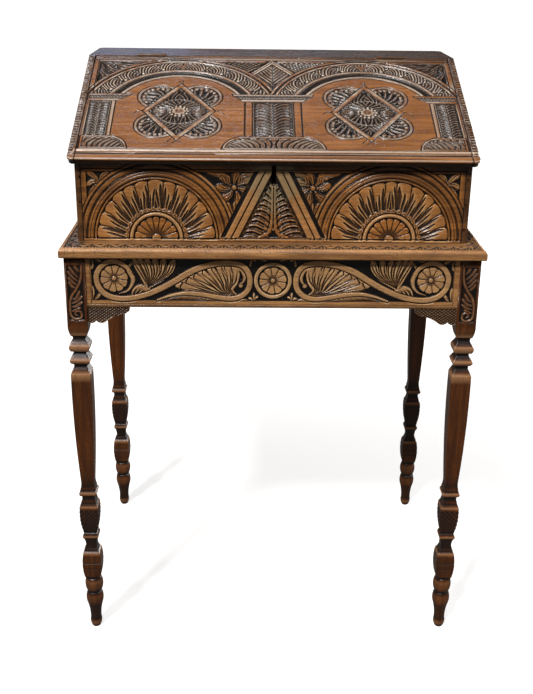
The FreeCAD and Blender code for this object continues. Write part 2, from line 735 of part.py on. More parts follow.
def make_leaf(name, middle, side, numbers):
    """A hinge leaf with its knuckles: side 1 lies in the flat top, side -1 in the lid."""
    plate_y = f"{side} * (leaf_inner + hinge_leaf_thickness / 2)"
    clear = "hinge_knuckle_radius + hinge_gap"
    parts = [block("leaf", (middle, plate_y, f"-({clear} + hinge_leaf_width) / 2"),
                   ("hinge_length", "hinge_leaf_thickness", f"hinge_leaf_width - ({clear})"))]
    for number in numbers:
        start, length = knuckle_span(number, middle)
        parts.append(rod("knuckle", "hinge_knuckle_radius", length,
                         (start, "0 * hinge_gap", "0 * hinge_gap"), "x"))
        parts.append(block("neck", (f"{start} + ({length}) / 2", plate_y, f"-({clear}) / 2"),
                           (length, "hinge_leaf_thickness", clear)))
    bore = rod("pin_bore", "hinge_pin_radius + pin_gap", "hinge_length + 2 * overrun",
               (f"{middle} - hinge_length / 2 - overrun", "0 * hinge_gap", "0 * hinge_gap"), "x")
    holes = hinge_screws("glue_gap", middle, side)
    item = cut(name + "_drilled", fuse(name + "_plate", parts), fuse(name + "_holes", [bore] + holes))
    return finish(in_hinge_frame(item), name)


def hinge_screws(gap, middle, side):
    """Countersunk screws through a leaf, square to the mitre."""
    screws = []
    direction = "y" if side > 0 else "-y"
    for share in hinge_screw_shares:
        start = (f"{middle} + ({share} - 0.5) * hinge_length", f"{side} * leaf_inner",
                 "-hinge_screw_drop")
        shank = rod("shank", f"hinge_screw_radius + {gap}", f"hinge_screw_length + {gap}",
                    start, direction)
        head = cone("head", f"hinge_screw_head_radius + {gap}", f"hinge_screw_radius + {gap}",
                    "hinge_leaf_thickness", start, direction)
        screws.append(fuse("hinge_screw", [shank, head]))
    return screws


def hinge_seat(middle, side):
    """What a board gives up to a hinge: room round the knuckles, a bed for the leaf, and screws."""
    room = rod("knuckle_room", "hinge_knuckle_radius + hinge_gap",
               "hinge_length + 2 * (hinge_gap + hinge_pin_head_length)",
               (f"{middle} - hinge_length / 2 - hinge_gap - hinge_pin_head_length",
                "0 * hinge_gap", "0 * hinge_gap"), "x")
    bed = block("leaf_bed", (middle, f"{side} * (leaf_outer + glue_gap) / 2",
                             "-(hinge_leaf_width + glue_gap) / 2"),
                ("hinge_length + 2 * glue_gap", "leaf_outer + glue_gap",
                 "hinge_leaf_width + glue_gap"))
    return [room, bed] + hinge_screws("glue_gap", middle, side)


def make_pin(name, middle):
    """A hinge pin with a peened head outside each end knuckle."""
    start = f"{middle} - hinge_length / 2"
    level = "0 * hinge_gap"
    shank = rod("pin", "hinge_pin_radius", "hinge_length", (start, level, level), "x")
    heads = [rod("pin_head", "hinge_pin_head_radius", "hinge_pin_head_length",
                 (place_x, level, level), direction)
             for place_x, direction in ((start, "-x"), (f"{middle} + hinge_length / 2", "x"))]
    return finish(in_hinge_frame(fuse(name + "_solid", [shank] + heads)), name)


hinge_middles = {"hinge_left": "-hinge_x", "hinge_right": "hinge_x"}
seats = {1: [], -1: []}
screws = {1: [], -1: []}
for hinge, middle in hinge_middles.items():
    make_leaf(hinge + "_fixed_leaf", middle, 1, (0, 2, 4))
    make_leaf(hinge + "_lid_leaf", middle, -1, (1, 3))
    make_pin(hinge + "_pin", middle)
    for side in (1, -1):
        seats[side] += hinge_seat(middle, side)
        screws[side] += hinge_screws("0 * glue_gap", middle, side)
finish(in_hinge_frame(group("screws_of_flat_top", screws[1])), "hinge_screws_box")
finish(in_hinge_frame(group("screws_of_lid", screws[-1])), "hinge_screws_lid")


def make_flat_top():
    """The fixed board behind the lid, mitred to it at the hinges."""
    body = new_body("flat_top_board")
    front = "mitre_set"
    pad(body, outline(body, "YZ_Plane", [
        (front, "0 * lid_thickness"), (f"{front} + mitre_run", "-lid_thickness"),
        ("flat_top_depth", "-lid_thickness"), ("flat_top_depth", "0 * lid_thickness")]),
        "lid_width", symmetric=True)
    back, half = value("flat_top_depth"), value("lid_width") / 2
    round_edges(body, "flat_top_corner_radius", lambda middle, edge:
                near(middle.y, back) and near(abs(middle.x), half))
    place(body, ("0 * lid_width", "hinge_y", "hinge_z"))
    tool = group("flat_top_cuts", [in_hinge_frame(fuse("flat_top_seats", seats[1])), flat_bores])
    finish(cut("flat_top_seated", body, tool), "flat_top")


def staple_nail_tools(gap):
    """Nails up through the staple's plate, drawn in the lid's own slope."""
    made = []
    reach = "(hinge_y - staple_y) / cos(lid_slope)"
    for x in (-1, 1):
        for y in (-1, 1):
            start = (f"{x} * (staple_plate_width / 2 - lock_nail_inset)",
                     f"lid_thickness * tan(lid_slope) - {reach}"
                     f" + {y} * (staple_plate_length / 2 - lock_nail_inset)",
                     "-lid_thickness - lock_sheet")
            made += nails(gap, [(start, "z")], "lock_nail_length")
    return made


def in_lid_frame(item):
    return place(item, ("0 * hinge_y", "hinge_y", "hinge_z"), axis=tilt, angle="lid_slope")


finish(in_lid_frame(group("nails_of_staple", staple_nail_tools("0 * glue_gap"))), "staple_nails")
staple_bores = in_lid_frame(group("staple_bores", staple_nail_tools("glue_gap")))


def make_lid():
    """The sloping lid, drawn level about the hinge line and then tilted."""
    body = new_body("lid_board")
    quirk = "lid_quirk_inset - lid_length"
    pad(body, outline(body, "YZ_Plane", [
        ("-mitre_set", "0 * lid_thickness"), (f"{quirk} + lid_quirk_width", "0 * lid_thickness"),
        (f"{quirk} + lid_quirk_width / 2", "-lid_quirk_depth"), (quirk, "0 * lid_thickness"),
        ("-lid_length", "0 * lid_thickness"), ("-lid_length", "-lid_thickness"),
        ("-mitre_set - mitre_run", "-lid_thickness")]), "lid_width", symmetric=True)
    nose, thick = -value("lid_length"), value("lid_thickness")
    round_edges(body, "lid_nose_radius", lambda middle, edge:
                near(middle.y, nose) and near(middle.z, 0))
    round_edges(body, "lid_under_radius", lambda middle, edge:
                near(middle.y, nose) and near(middle.z, -thick))
    in_lid_frame(body)
    tool = group("lid_cuts", [in_hinge_frame(fuse("lid_seats", seats[-1])), staple_bores])
    finish(cut("lid_seated", body, tool), "lid")


make_flat_top()
make_lid()


def make_lock():
    """The iron lock inside the front: plate, case with bolt guides, and the pin for the key."""
    plate = span("plate", ("-lock_plate_width / 2", "box_inner_y", "lock_z - lock_plate_height"),
                 ("lock_plate_width / 2", "case_front_y", "lock_z"))
    slot = span("key_slot", ("-keyhole_width / 2", "box_inner_y - overrun", "keyhole_z"),
                ("keyhole_width / 2", "case_front_y + overrun", "lock_z + overrun"))
    finish(cut("plate_cut", plate, group("plate_cuts", [slot, lock_bores])), "lock_plate")

    half = "lock_case_width / 2"
    pin_z = "(lock_z - lock_pin_drop)"
    back = "(case_front_y + lock_case_depth)"
    low = "(lock_z - lock_case_height)"
    shell = cut("case_shell",
                span("case_outer", ("-" + half, "case_front_y", low), (half, back, "lock_z")),
                span("case_inner", (f"lock_sheet - {half}", "case_front_y - overrun",
                                    f"{low} + lock_sheet"),
                     (f"{half} - lock_sheet", f"{back} - lock_sheet", "lock_z - lock_sheet")))
    outer_guide = "bolt_tip + bolt_length - 2 * lock_rib"
    ribs = [block("guide", (place_x, f"{back} - lock_case_depth / 2", "lock_z - bolt_drop"),
                  ("lock_rib", "lock_case_depth", "2 * bolt_drop - 2 * lock_sheet"))
            for place_x in (f"-({outer_guide})", "-lock_rib_reach", "lock_rib_reach")]
    guide_way = block("guide_way", ("0 * bolt_gap", "staple_y", "bolt_z"),
                      ("lock_case_width - 2 * lock_sheet", "bolt_depth + 2 * bolt_gap",
                       "bolt_height + 2 * bolt_gap"))
    top_slot = span("tongue_slot", ("-staple_thickness / 2 - bolt_gap",
                                    "staple_y - staple_depth / 2 - staple_swing",
                                    "lock_z - lock_sheet - overrun"),
                    ("staple_thickness / 2 + bolt_gap", "staple_y + staple_depth / 2 + bolt_gap",
                     "lock_z + overrun"))
    rivet = rod("rivet_hole", "lock_pin_radius + glue_gap", "2 * overrun",
                ("0 * lock_sheet", f"{back} - overrun", pin_z), "y")
    case = cut("case_cut", fuse("case_ribbed", [shell] + ribs),
               group("case_cuts", [guide_way, top_slot, rivet]))
    finish(case, "lock_case")
    finish(rod("key_pin", "lock_pin_radius", "lock_case_depth - lock_sheet",
               ("0 * lock_sheet", back, pin_z), "-y"), "lock_key_pin")
    finish(block("bolt", ("-bolt_tip - bolt_length / 2", "staple_y", "bolt_z"),
                 ("bolt_length", "bolt_depth", "bolt_height")), "lock_bolt")


def make_staple():
    """The tongue under the lid that the bolt locks, on a plate along the lid's underside."""
    body = new_body("staple_body")
    near_y, far_y = "(staple_y - staple_depth / 2)", "(staple_y + staple_depth / 2)"

    def under(y, sheets):
        return (f"hinge_z - lid_under - {sheets} * staple_sheet"
                f" - (hinge_y - {y}) * tan(lid_slope)")

    pad(body, outline(body, "YZ_Plane", [
        (near_y, "bolt_z - staple_below_bolt"), (far_y, "bolt_z - staple_below_bolt"),
        (far_y, under(far_y, 0)), (near_y, under(near_y, 0))]), "staple_thickness", symmetric=True)
    plate_low = "(staple_y - staple_plate_length * cos(lid_slope) / 2)"
    plate_high = "(staple_y + staple_plate_length * cos(lid_slope) / 2)"
    pad(body, outline(body, "YZ_Plane", [
        (plate_low, under(plate_low, 1)), (plate_high, under(plate_high, 1)),
        (plate_high, under(plate_high, 0)), (plate_low, under(plate_low, 0))]),
        "staple_plate_width", symmetric=True)
    eye = block("staple_eye", ("0 * bolt_gap", "staple_y", "bolt_z"),
                ("staple_thickness + 2 * overrun", "bolt_depth + 2 * bolt_gap",
                 "bolt_height + 2 * bolt_gap"))
    finish(cut("staple_cut", body, group("staple_cuts", [eye, staple_bores])), "lid_staple")


make_lock()
make_staple()

document.recompute()
for item in document.Objects:
    if "Invalid" in item.State or "Error" in item.State:
        raise RuntimeError(f"{item.Name} failed: {item.State}")
os.makedirs("parts", exist_ok=True)
for item in subparts:
    shape = item.Shape
    if shape.isNull() or not shape.isValid() or not shape.Solids:
        raise RuntimeError(f"{item.Label} has no sound shape")
    shape.exportStep(f"parts/{item.Label}.step")
    print(f"{item.Label}: {len(shape.Solids)} solids, {shape.Volume / 1000:.2f} cm3")
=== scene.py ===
import math
from functools import reduce
from types import SimpleNamespace

import bmesh
import bpy
import numpy as np
from mathutils import Matrix, Vector


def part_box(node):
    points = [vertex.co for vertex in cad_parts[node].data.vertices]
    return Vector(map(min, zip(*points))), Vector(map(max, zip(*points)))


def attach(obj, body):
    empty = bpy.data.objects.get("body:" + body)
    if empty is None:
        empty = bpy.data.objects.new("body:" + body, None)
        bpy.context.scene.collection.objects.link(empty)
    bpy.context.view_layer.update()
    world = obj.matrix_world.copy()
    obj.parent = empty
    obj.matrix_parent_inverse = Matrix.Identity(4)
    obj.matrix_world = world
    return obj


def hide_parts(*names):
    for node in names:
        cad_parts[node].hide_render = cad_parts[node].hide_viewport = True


# Carved oak bible box on its stand. Places are in metres; carving is measured in millimetres, times mm.
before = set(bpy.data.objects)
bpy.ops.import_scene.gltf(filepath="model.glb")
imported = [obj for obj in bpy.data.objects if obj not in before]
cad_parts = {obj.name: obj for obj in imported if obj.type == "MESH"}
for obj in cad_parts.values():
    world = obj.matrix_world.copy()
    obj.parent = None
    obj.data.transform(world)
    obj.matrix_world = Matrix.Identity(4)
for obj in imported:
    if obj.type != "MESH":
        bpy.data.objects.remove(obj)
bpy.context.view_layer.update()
mm = 0.001
coarse = 1.0
hand = np.random.default_rng(1680)      # small slips of the carver's hand, the same each run
scene = bpy.context.scene


# Camera, worked out from straight edges in the photograph.
cameraSpec = {
    "place": (-0.0371, -1.7933, 1.1577),
    "yaw": 0.018,        # radians, towards +X
    "pitch": 0.371,      # radians, downwards
    "roll": 0.012,
    "lens": 53.24,
    "sensor": 36.0,
}


def addCamera(spec):
    yaw, pitch, roll = spec["yaw"], spec["pitch"], spec["roll"]
    forward = Vector((math.sin(yaw) * math.cos(pitch), math.cos(yaw) * math.cos(pitch), -math.sin(pitch)))
    level = Vector((math.cos(yaw), -math.sin(yaw), 0))
    upward = level.cross(forward)
    right = math.cos(roll) * level + math.sin(roll) * upward
    top = math.cos(roll) * upward - math.sin(roll) * level
    data = bpy.data.cameras.new("camera")
    data.sensor_width = spec["sensor"]
    data.lens = spec["lens"]
    camera = bpy.data.objects.new("camera", data)
    facing = Matrix((right, top, -forward)).transposed()
    camera.matrix_world = Matrix.Translation(spec["place"]) @ facing.to_4x4()
    scene.collection.objects.link(camera)
    scene.camera = camera


addCamera(cameraSpec)
print("camera placed")


# Small node helpers.
def linearColour(text):
    channels = [int(text[i:i + 2], 16) / 255 for i in (1, 3, 5)]
    return [c / 12.92 if c <= 0.04045 else ((c + 0.055) / 1.055) ** 2.4 for c in channels] + [1.0]


def addNode(tree, kind, inputs=None, **settings):
    node = tree.nodes.new(kind)
    for key, setting in settings.items():
        setattr(node, key, setting)
    for key, source in (inputs or {}).items():
        if isinstance(source, bpy.types.NodeSocket):
            tree.links.new(source, node.inputs[key])
        else:
            node.inputs[key].default_value = source
    return node


def mixColours(tree, factor, first, second):
    return addNode(tree, "ShaderNodeMix", {0: factor, 6: first, 7: second}, data_type="RGBA").outputs[2]


def ramp(tree, source, low, high, start=0.0, end=1.0):
    return addNode(tree, "ShaderNodeMapRange", {
        "Value": source, "From Min": low, "From Max": high,
        "To Min": start, "To Max": end}).outputs["Result"]


def sumOf(tree, first, second, operation="ADD"):
    return addNode(tree, "ShaderNodeMath", {0: first, 1: second}, operation=operation).outputs[0]


def newMaterial(name):
    material = bpy.data.materials.new(name)
    material.use_nodes = True
    material.node_tree.nodes.clear()
    return material, material.node_tree


# Noise for the grain: size along and across it in millimetres, detail, distortion, and the two levels
# that it is spread between.
grainSpec = {
    "rings": (170, 7, 4, 1.0, 0.38, 0.64),      # growth rings, about 7 mm apart
    "cloud": (60, 38, 3, 0.0, 0.36, 0.66),      # handling and old stain
    "fibre": (24, 0.9, 2, 0.0, 0.35, 0.66),
    "pores": (8, 0.6, 1, 0.0, 0.60, 0.68),      # open pores, filled with dirt
}
# how far each stain, and each painted highlight and sheen, covers what is under it, at most
coverShares = {"cloud": 0.55, "rings": 0.25, "worked": 0.75, "polishAndHighlightShare": 0.8, "fibre": 0.25, "pores": 0.5}
# what dirt and fibres add to the roughness, and the relief of the grain, its height in millimetres
surfaceSpec = {"dirtRough": 0.12, "fibreRough": (0.08, -0.04), "fibreRelief": 0.4, "poreRelief": -0.8,
               "strength": 0.5, "height": 0.25, "index": 1.45}


# Oak after three centuries of wax and handling: open grain, nearly black in the hollows from dirt and
# painted shade, rubbed on what stands proud. Carving brings three attributes: one for the hollows (1
# there), tone (-1 rubbed bright with a painted highlight, 0 worn, 1 dark) and one for close carving (1 there,
# where old wax lies grey under a painted sheen of reflected sky).
def waxedOak(name, grain, worn, body, dark, sheenAndWaxColour, polishAndHighlight, gloss, black="#0c0705", streak=0.06, toneFloor=0.0,
             patch=None, under=None):
    material, tree = newMaterial(name)
    place = addNode(tree, "ShaderNodeTexCoord").outputs["Object"]

    def figured(along, across, detail, distortion=0.0):
        # noise drawn out along the grain, sizes in millimetres
        scale = [1 / (across * mm)] * 3
        scale["XYZ".index(grain)] = 1 / (along * mm)
        spot = addNode(tree, "ShaderNodeMapping", {"Vector": place, "Scale": scale}).outputs[0]
        return addNode(tree, "ShaderNodeTexNoise", {
            "Vector": spot, "Scale": 1.0, "Detail": detail, "Roughness": 0.55,
            "Distortion": distortion}).outputs["Fac"]

    recess, tone, worked = (addNode(tree, "ShaderNodeAttribute", attribute_name=label).outputs["Fac"]
                            for label in ("recess", "tone", "worked"))
    rings, cloud, fibre, pores = (ramp(tree, figured(*sizes), low, high)
                                  for *sizes, low, high in grainSpec.values())
    colour = mixColours(tree, rings, linearColour(body), linearColour(worn))
    colour = mixColours(tree, ramp(tree, cloud, 0, 1, 0.0, coverShares["cloud"]), colour, linearColour(body))
    shade = sumOf(tree, tone, ramp(tree, cloud, 0, 1, toneFloor - 0.10, toneFloor + 0.14))
    colour = mixColours(tree, ramp(tree, shade, 0, 1), colour, mixColours(
        tree, ramp(tree, rings, 0, 1, 0.0, coverShares["rings"]), linearColour(dark), linearColour(body)))
    # close carving greyed by old wax and by a painted sheen of reflected sky
    colour = mixColours(tree, ramp(tree, worked, 0, 1, 0, coverShares["worked"]), colour, linearColour(sheenAndWaxColour))
    # painted highlight, with rubbed polish, where the tone is below 0
    colour = mixColours(tree, ramp(tree, tone, 0, -1, 0, coverShares["polishAndHighlightShare"]), colour, linearColour(polishAndHighlight))
    colour = mixColours(tree, ramp(tree, fibre, 0, 1, coverShares["fibre"], 0.0), colour, linearColour(dark))
    colour = mixColours(tree, ramp(tree, pores, 0, 1, 0.0, coverShares["pores"]), colour, linearColour(black))
    if patch:
        away = addNode(tree, "ShaderNodeVectorMath", {0: place, 1: patch["middle"]},
                       operation="DISTANCE").outputs["Value"]
        reach = sumOf(tree, away, ramp(tree, figured(20, 16, 3), 0.3, 0.7, -patch["edge"], patch["edge"]))
        colour = mixColours(tree, ramp(tree, reach, patch["radius"] - patch["edge"] / 2,
                                       patch["radius"] + patch["edge"], patch["strength"], 0.0),
                            colour, linearColour(patch["colour"]))
    if under:
        # painted shade, near black, where the nose turns under: how far forward, and how far below the
        # board's face
        forward, below = (sumOf(tree, addNode(tree, "ShaderNodeVectorMath", {0: place, 1: under[way]},
                                              operation="DOT_PRODUCT").outputs["Value"], -under[way + "Edge"])
                          for way in ("forward", "below"))
        paintedNoseShade = sumOf(tree, ramp(tree, forward, 0.0, 2 * mm), ramp(tree, below, 0.0, 1.6 * mm, 0.0, 0.95),
                       "MULTIPLY")
        colour = mixColours(tree, paintedNoseShade, colour, linearColour(black))
    # dirt and painted shade darken the hollows towards black
    colour = mixColours(tree, recess, colour, linearColour(black))
    spec = surfaceSpec
    rough = sumOf(tree, ramp(tree, recess, 0, 1, gloss, gloss + spec["dirtRough"]),
                  ramp(tree, fibre, 0, 1, *spec["fibreRough"]))
    rough = sumOf(tree, rough, ramp(tree, rings, 0, 1, streak, 0.0))
    relief = sumOf(tree, ramp(tree, fibre, 0, 1, 0.0, spec["fibreRelief"]),
                   ramp(tree, pores, 0, 1, 0.0, spec["poreRelief"]))
    bump = addNode(tree, "ShaderNodeBump", {
        "Height": relief, "Strength": spec["strength"], "Distance": spec["height"] * mm})
    shader = addNode(tree, "ShaderNodeBsdfPrincipled", {
        "Base Color": colour, "Roughness": rough, "Normal": bump.outputs[0], "IOR": spec["index"]})
    addNode(tree, "ShaderNodeOutputMaterial", {"Surface": shader.outputs[0]})
    return material


# Forged iron, dry and dark, brown where it has rusted.
def forgedIron(name, iron, rust):
    material, tree = newMaterial(name)
    place = addNode(tree, "ShaderNodeTexCoord").outputs["Object"]
    spots = addNode(tree, "ShaderNodeTexNoise", {
        "Vector": place, "Scale": 1 / (6 * mm), "Detail": 4.0}).outputs["Fac"]
    hammer = addNode(tree, "ShaderNodeTexVoronoi", {"Vector": place, "Scale": 1 / (4 * mm)},
                     feature="SMOOTH_F1").outputs["Distance"]
    colour = mixColours(tree, ramp(tree, spots, 0.45, 0.65), linearColour(iron), linearColour(rust))
    bump = addNode(tree, "ShaderNodeBump", {"Height": hammer, "Strength": 0.4, "Distance": 0.3 * mm})
    shader = addNode(tree, "ShaderNodeBsdfPrincipled", {
        "Base Color": colour, "Metallic": 0.75,
        "Roughness": ramp(tree, spots, 0.4, 0.7, 0.42, 0.75), "Normal": bump.outputs[0]})
    addNode(tree, "ShaderNodeOutputMaterial", {"Surface": shader.outputs[0]})
    return material


woodSpec = {
    "lid": {"grain": "X", "worn": "#946032", "body": "#6e4323", "dark": "#261d19", "sheenAndWaxColour": "#332c28",
            "polishAndHighlight": "#c6b29c", "gloss": 0.14},
    "front": {"grain": "X", "worn": "#c07e3c", "body": "#8e5828", "dark": "#3a2819", "sheenAndWaxColour": "#4c392a",
              "polishAndHighlight": "#e2b47e", "gloss": 0.20},
    "box": {"grain": "X", "worn": "#84501f", "body": "#5e3614", "dark": "#2e1c0f", "sheenAndWaxColour": "#5e4a38",
            "polishAndHighlight": "#9a6a38", "gloss": 0.28},
    "stand": {"grain": "X", "worn": "#c69058", "body": "#92633a", "dark": "#3a291b", "sheenAndWaxColour": "#5e4a38",
              "polishAndHighlight": "#e6bc88", "gloss": 0.20},
    "leg": {"grain": "Z", "worn": "#6c3a14", "body": "#4a250c", "dark": "#20140d", "sheenAndWaxColour": "#5a483c",
            "polishAndHighlight": "#b4845c", "gloss": 0.24},
    "rail": {"grain": "Y", "worn": "#5e3814", "body": "#42250c", "dark": "#221308", "sheenAndWaxColour": "#463628",
             "polishAndHighlight": "#80552c", "gloss": 0.30},
    "inside": {"grain": "X", "worn": "#9a7448", "body": "#785431", "dark": "#47301b", "sheenAndWaxColour": "#6e5a42",
               "polishAndHighlight": "#a8845a", "gloss": 0.62},
}
bleachedPatch = {"middle": (0.0, -0.1995, 0.815), "radius": 0.040, "edge": 0.014,
                 "colour": "#8b8163", "strength": 0.55}

# measured along the lid's slope of 23.65 degrees and square to it: from 303 mm down it, and 2.6 mm under
# its face
noseShade = {"forward": (0.0, -0.9160, -0.4011), "forwardEdge": -0.1540, "below": (0.0, 0.4011, -0.9160),
             "belowEdge": -0.8666}
lidOak = waxedOak("waxed oak of the lid", **woodSpec["lid"], under=noseShade)
topOak = waxedOak("polished oak of the flat top", **{**woodSpec["lid"], "gloss": 0.15}, toneFloor=0.95,
                  streak=0.16)
frontOak = waxedOak("waxed oak of the front", **woodSpec["front"], patch=bleachedPatch)
boxOak = waxedOak("plain oak of the box", **woodSpec["box"])
boxSideOak = waxedOak("plain oak of the box sides", **{**woodSpec["box"], "grain": "Y"})
standOak = waxedOak("carved oak of the stand", **woodSpec["stand"])
standTopOak = waxedOak("worn oak of the stand top", **{**woodSpec["stand"], "gloss": 0.36})
beadOak = waxedOak("darkened oak of the bead", **woodSpec["stand"], toneFloor=0.6)
legOak = waxedOak("dark oak of the legs", **woodSpec["leg"])
railOak = waxedOak("dark oak of the side rails", **woodSpec["rail"])
backRailOak = waxedOak("dark oak of the back rail", **{**woodSpec["rail"], "grain": "X"})
insideOak = waxedOak("unfinished oak", **woodSpec["inside"])
iron = forgedIron("forged iron", "#4a3d33", "#5a3d28")
nailIron = forgedIron("iron nails and screws", "#2c2826", "#45301f")

nodeMaterials = {
    "flat_top": topOak, "box_back": boxOak, "box_side_left": boxSideOak, "box_side_right": boxSideOak,
    "box_bottom": insideOak, "apron_back": backRailOak, "apron_left": railOak, "apron_right": railOak,
    "apron_bead": beadOak, "tenon_pegs": legOak, "glue_blocks": insideOak,
}
# the other nodes, by the first of these that their name starts with, unless it ends in nails or screws
startMaterials = {"hinge_screws": nailIron, "hinge": iron, "lock": iron, "lid_staple": iron, "leg": legOak,
                  "lid": lidOak, "box_front": frontOak, "": standOak}


def chooseMaterial(name):
    if name in nodeMaterials:
        return nodeMaterials[name]
    if name.endswith(("nails", "screws")):
        return nailIron
    return next(material for start, material in startMaterials.items() if name.startswith(start))


for nodeName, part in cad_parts.items():
    for slot in part.material_slots:
        slot.material = chooseMaterial(nodeName)
print("materials made")


# Pale floor and white backdrop; both are plain white only where the camera or a reflection looks at them.
stageSpec = {"floor": "#b8b5b0", "shade": "#4c4a47", "white": "#ffffff", "size": 40.0, "world": 0.17,
             "gloss": 0.08, "lift": 0.66}


def seenDirectly(tree, plain, glossy):
    # 1 for the camera; the level that wax mirrors, and the level that only lights the object
    paths = addNode(tree, "ShaderNodeLightPath").outputs
    clear = sumOf(tree, paths["Is Camera Ray"], paths["Is Transmission Ray"], "MAXIMUM")
    return ramp(tree, clear, 0, 1, ramp(tree, paths["Is Glossy Ray"], 0, 1, plain, glossy), 1.0)


def addStage(spec):
    material, tree = newMaterial("pale floor")
    seen = seenDirectly(tree, 0.0, spec["gloss"])
    colour = mixColours(tree, seenDirectly(tree, 0.0, 0.0), linearColour(spec["shade"]),
                        linearColour(spec["floor"]))
    matt = addNode(tree, "ShaderNodeBsdfDiffuse", {"Color": colour})
    glow = addNode(tree, "ShaderNodeEmission", {
        "Color": linearColour(spec["white"]), "Strength": spec["lift"]})
    lit = addNode(tree, "ShaderNodeAddShader", {0: matt.outputs[0], 1: glow.outputs[0]})
    both = addNode(tree, "ShaderNodeMixShader", {0: seen, 1: matt.outputs[0], 2: lit.outputs[0]})
    addNode(tree, "ShaderNodeOutputMaterial", {"Surface": both.outputs[0]})
    bm = bmesh.new()
    bmesh.ops.create_grid(bm, x_segments=1, y_segments=1, size=spec["size"])
    mesh = bpy.data.meshes.new("floor")
    bm.to_mesh(mesh)
    bm.free()
    mesh.materials.append(material)
    floor = bpy.data.objects.new("floor", mesh)
    scene.collection.objects.link(floor)
    world = bpy.data.worlds.new("backdrop")
    world.use_nodes = True
    tree = world.node_tree
    tree.nodes.clear()
    strength = seenDirectly(tree, spec["world"], spec["gloss"])
    sky = addNode(tree, "ShaderNodeBackground", {"Color": linearColour(spec["white"]), "Strength": strength})
    addNode(tree, "ShaderNodeOutputWorld", {"Surface": sky.outputs[0]})
    scene.world = world


# Daylight from the upper left in front, and soft boxes: place, what each faces, width, height, strength
# and colour.
sunSpec = {"towards": (0.42, 0.80, -0.98), "spread": 8.0, "strength": 3.3}
lampSpec = {
    "sky behind": ((-0.4, 2.4, 2.35), (0, 0, 0.95), 1.7, 0.5, 14, "#e4ebff"),
    "window": ((-0.62, 2.4, 1.24), (-0.2, 0.1, 0.98), 0.7, 0.25, 0.45, "#b4caff"),
    "overhead": ((-0.3, -0.5, 2.5), (0, -0.1, 0.8), 0.8, 0.5, 22, "#ffffff"),
    "right side": ((3.0, 0.5, 1.5), (0.3, 0.1, 0.6), 1.8, 1.6, 60, "#ffffff"),
    "back": ((2.1, 2.7, 0.50), (0.1, 0.2, 0.6), 1.4, 0.8, 55, "#ffffff"),
}


def addLamps(sunny, spec):
    data = bpy.data.lights.new("daylight", "SUN")
    data.energy = sunny["strength"]
    data.angle = math.radians(sunny["spread"])
    lamp = bpy.data.objects.new("daylight", data)
    lamp.matrix_world = Vector(sunny["towards"]).to_track_quat("-Z", "Y").to_matrix().to_4x4()
    scene.collection.objects.link(lamp)
    for name, (place, target, width, height, watts, colour) in spec.items():
        data = bpy.data.lights.new(name, "AREA")
        data.shape = "RECTANGLE"
        data.size, data.size_y = width, height
        data.energy = watts
        data.color = linearColour(colour)[:3]
        lamp = bpy.data.objects.new(name, data)
        aim = (Vector(target) - Vector(place)).to_track_quat("-Z", "Y")
        lamp.matrix_world = Matrix.Translation(place) @ aim.to_matrix().to_4x4()
        scene.collection.objects.link(lamp)


addStage(stageSpec)
addLamps(sunSpec, lampSpec)
scene.view_settings.view_transform = "Standard"
print("floor, backdrop and lamps placed")


# Carving. A panel is a sheet of points over a board's face: u along it, v across it, h the depth of
# the wood there (0 at the board's face, negative where it is cut away), all in millimetres. The panel's
# tone and its added darkening (dirt and painted shade) add to the wear and painted light found from the
# relief by itself, and its last share is how grey old wax, with a painted sheen, makes close carving.
def newPanel(low, high, spacing, sides=1):
    columns = sides * max(4, round((high[0] - low[0]) / sides / (spacing * coarse)))
    rows = max(4, round((high[1] - low[1]) / (spacing * coarse)))
    bm = bmesh.new()
    bmesh.ops.create_grid(bm, x_segments=columns, y_segments=rows, size=0.5)
    mesh = bpy.data.meshes.new("sheet")
    bm.to_mesh(mesh)
    bm.free()
    spots = np.empty(len(mesh.vertices) * 3)
    mesh.vertices.foreach_get("co", spots)
    spots = spots.reshape(-1, 3)
    order = np.lexsort((spots[:, 0], spots[:, 1])).reshape(rows + 1, columns + 1)
    shape = (rows + 1, columns + 1)
    us, vs = np.linspace(low[0], high[0], columns + 1), np.linspace(low[1], high[1], rows + 1)
    # u and v are views, so they follow when a column or row is moved
    return SimpleNamespace(mesh=mesh, order=order, us=us, vs=vs, u=np.broadcast_to(us, shape),
                           v=np.broadcast_to(vs[:, None], shape), step=us[1] - us[0], dullAndSheen=0.4,
                           h=np.zeros(shape), cuts=np.zeros(shape), tone=np.zeros(shape),
                           grimeAndShade=np.zeros(shape))


def least(*fields):
    return reduce(np.minimum, fields)


def polar(panel, middle):
    # how far each point is from the middle, and in which direction, in degrees from +u
    du, dv = panel.u - middle[0], panel.v - middle[1]
    return np.hypot(du, dv), np.degrees(np.arctan2(dv, du))


def smoothStep(field, low, high):
    share = np.clip((field - low) / (high - low), 0, 1)
    return share * share * (3 - 2 * share)


def roundOver(field, edge):
    return np.sqrt(np.clip(1 - (1 - np.clip(field / edge, 0, 1)) ** 2, 0, 1))


def levelTo(panel, field, depth, edge=1.2):
    # cut or leave the wood at one depth inside a shape, with a sloping edge
    share = np.clip(field / edge, 0, 1)
    panel.h[:] = panel.h * (1 - share) + depth * share


def raiseRound(panel, field, edge, base, top, place=...):
    # wood left standing above the ground, its edges rounded over
    lifted = base + (top - base) * roundOver(field, edge)
    panel.h[place] = np.where(field > 0, np.maximum(panel.h[place], lifted), panel.h[place])


def shapeInside(panel, inside, form, floor):
    # gives the wood inside a shape its own form, no lower than the floor
    panel.h[:] = np.where(inside, np.maximum(form, floor), panel.h)


def cutLine(panel, away, half, depth, where=True):
    # a V cut of the given half width along away = 0
    panel.h -= where * depth * np.clip(1 - abs(away) / half, 0, 1)


def flutes(panel, field, phase, depth, leafy=False, edge=1.2):
    # gouge cuts side by side inside a shape: ridges between hollows, or leaves with a cut between
    bow = (2 * (phase - np.floor(phase)) - 1) ** 2
    panel.h -= depth * (bow if leafy else 1 - bow) * np.clip(field / edge, 0, 1)


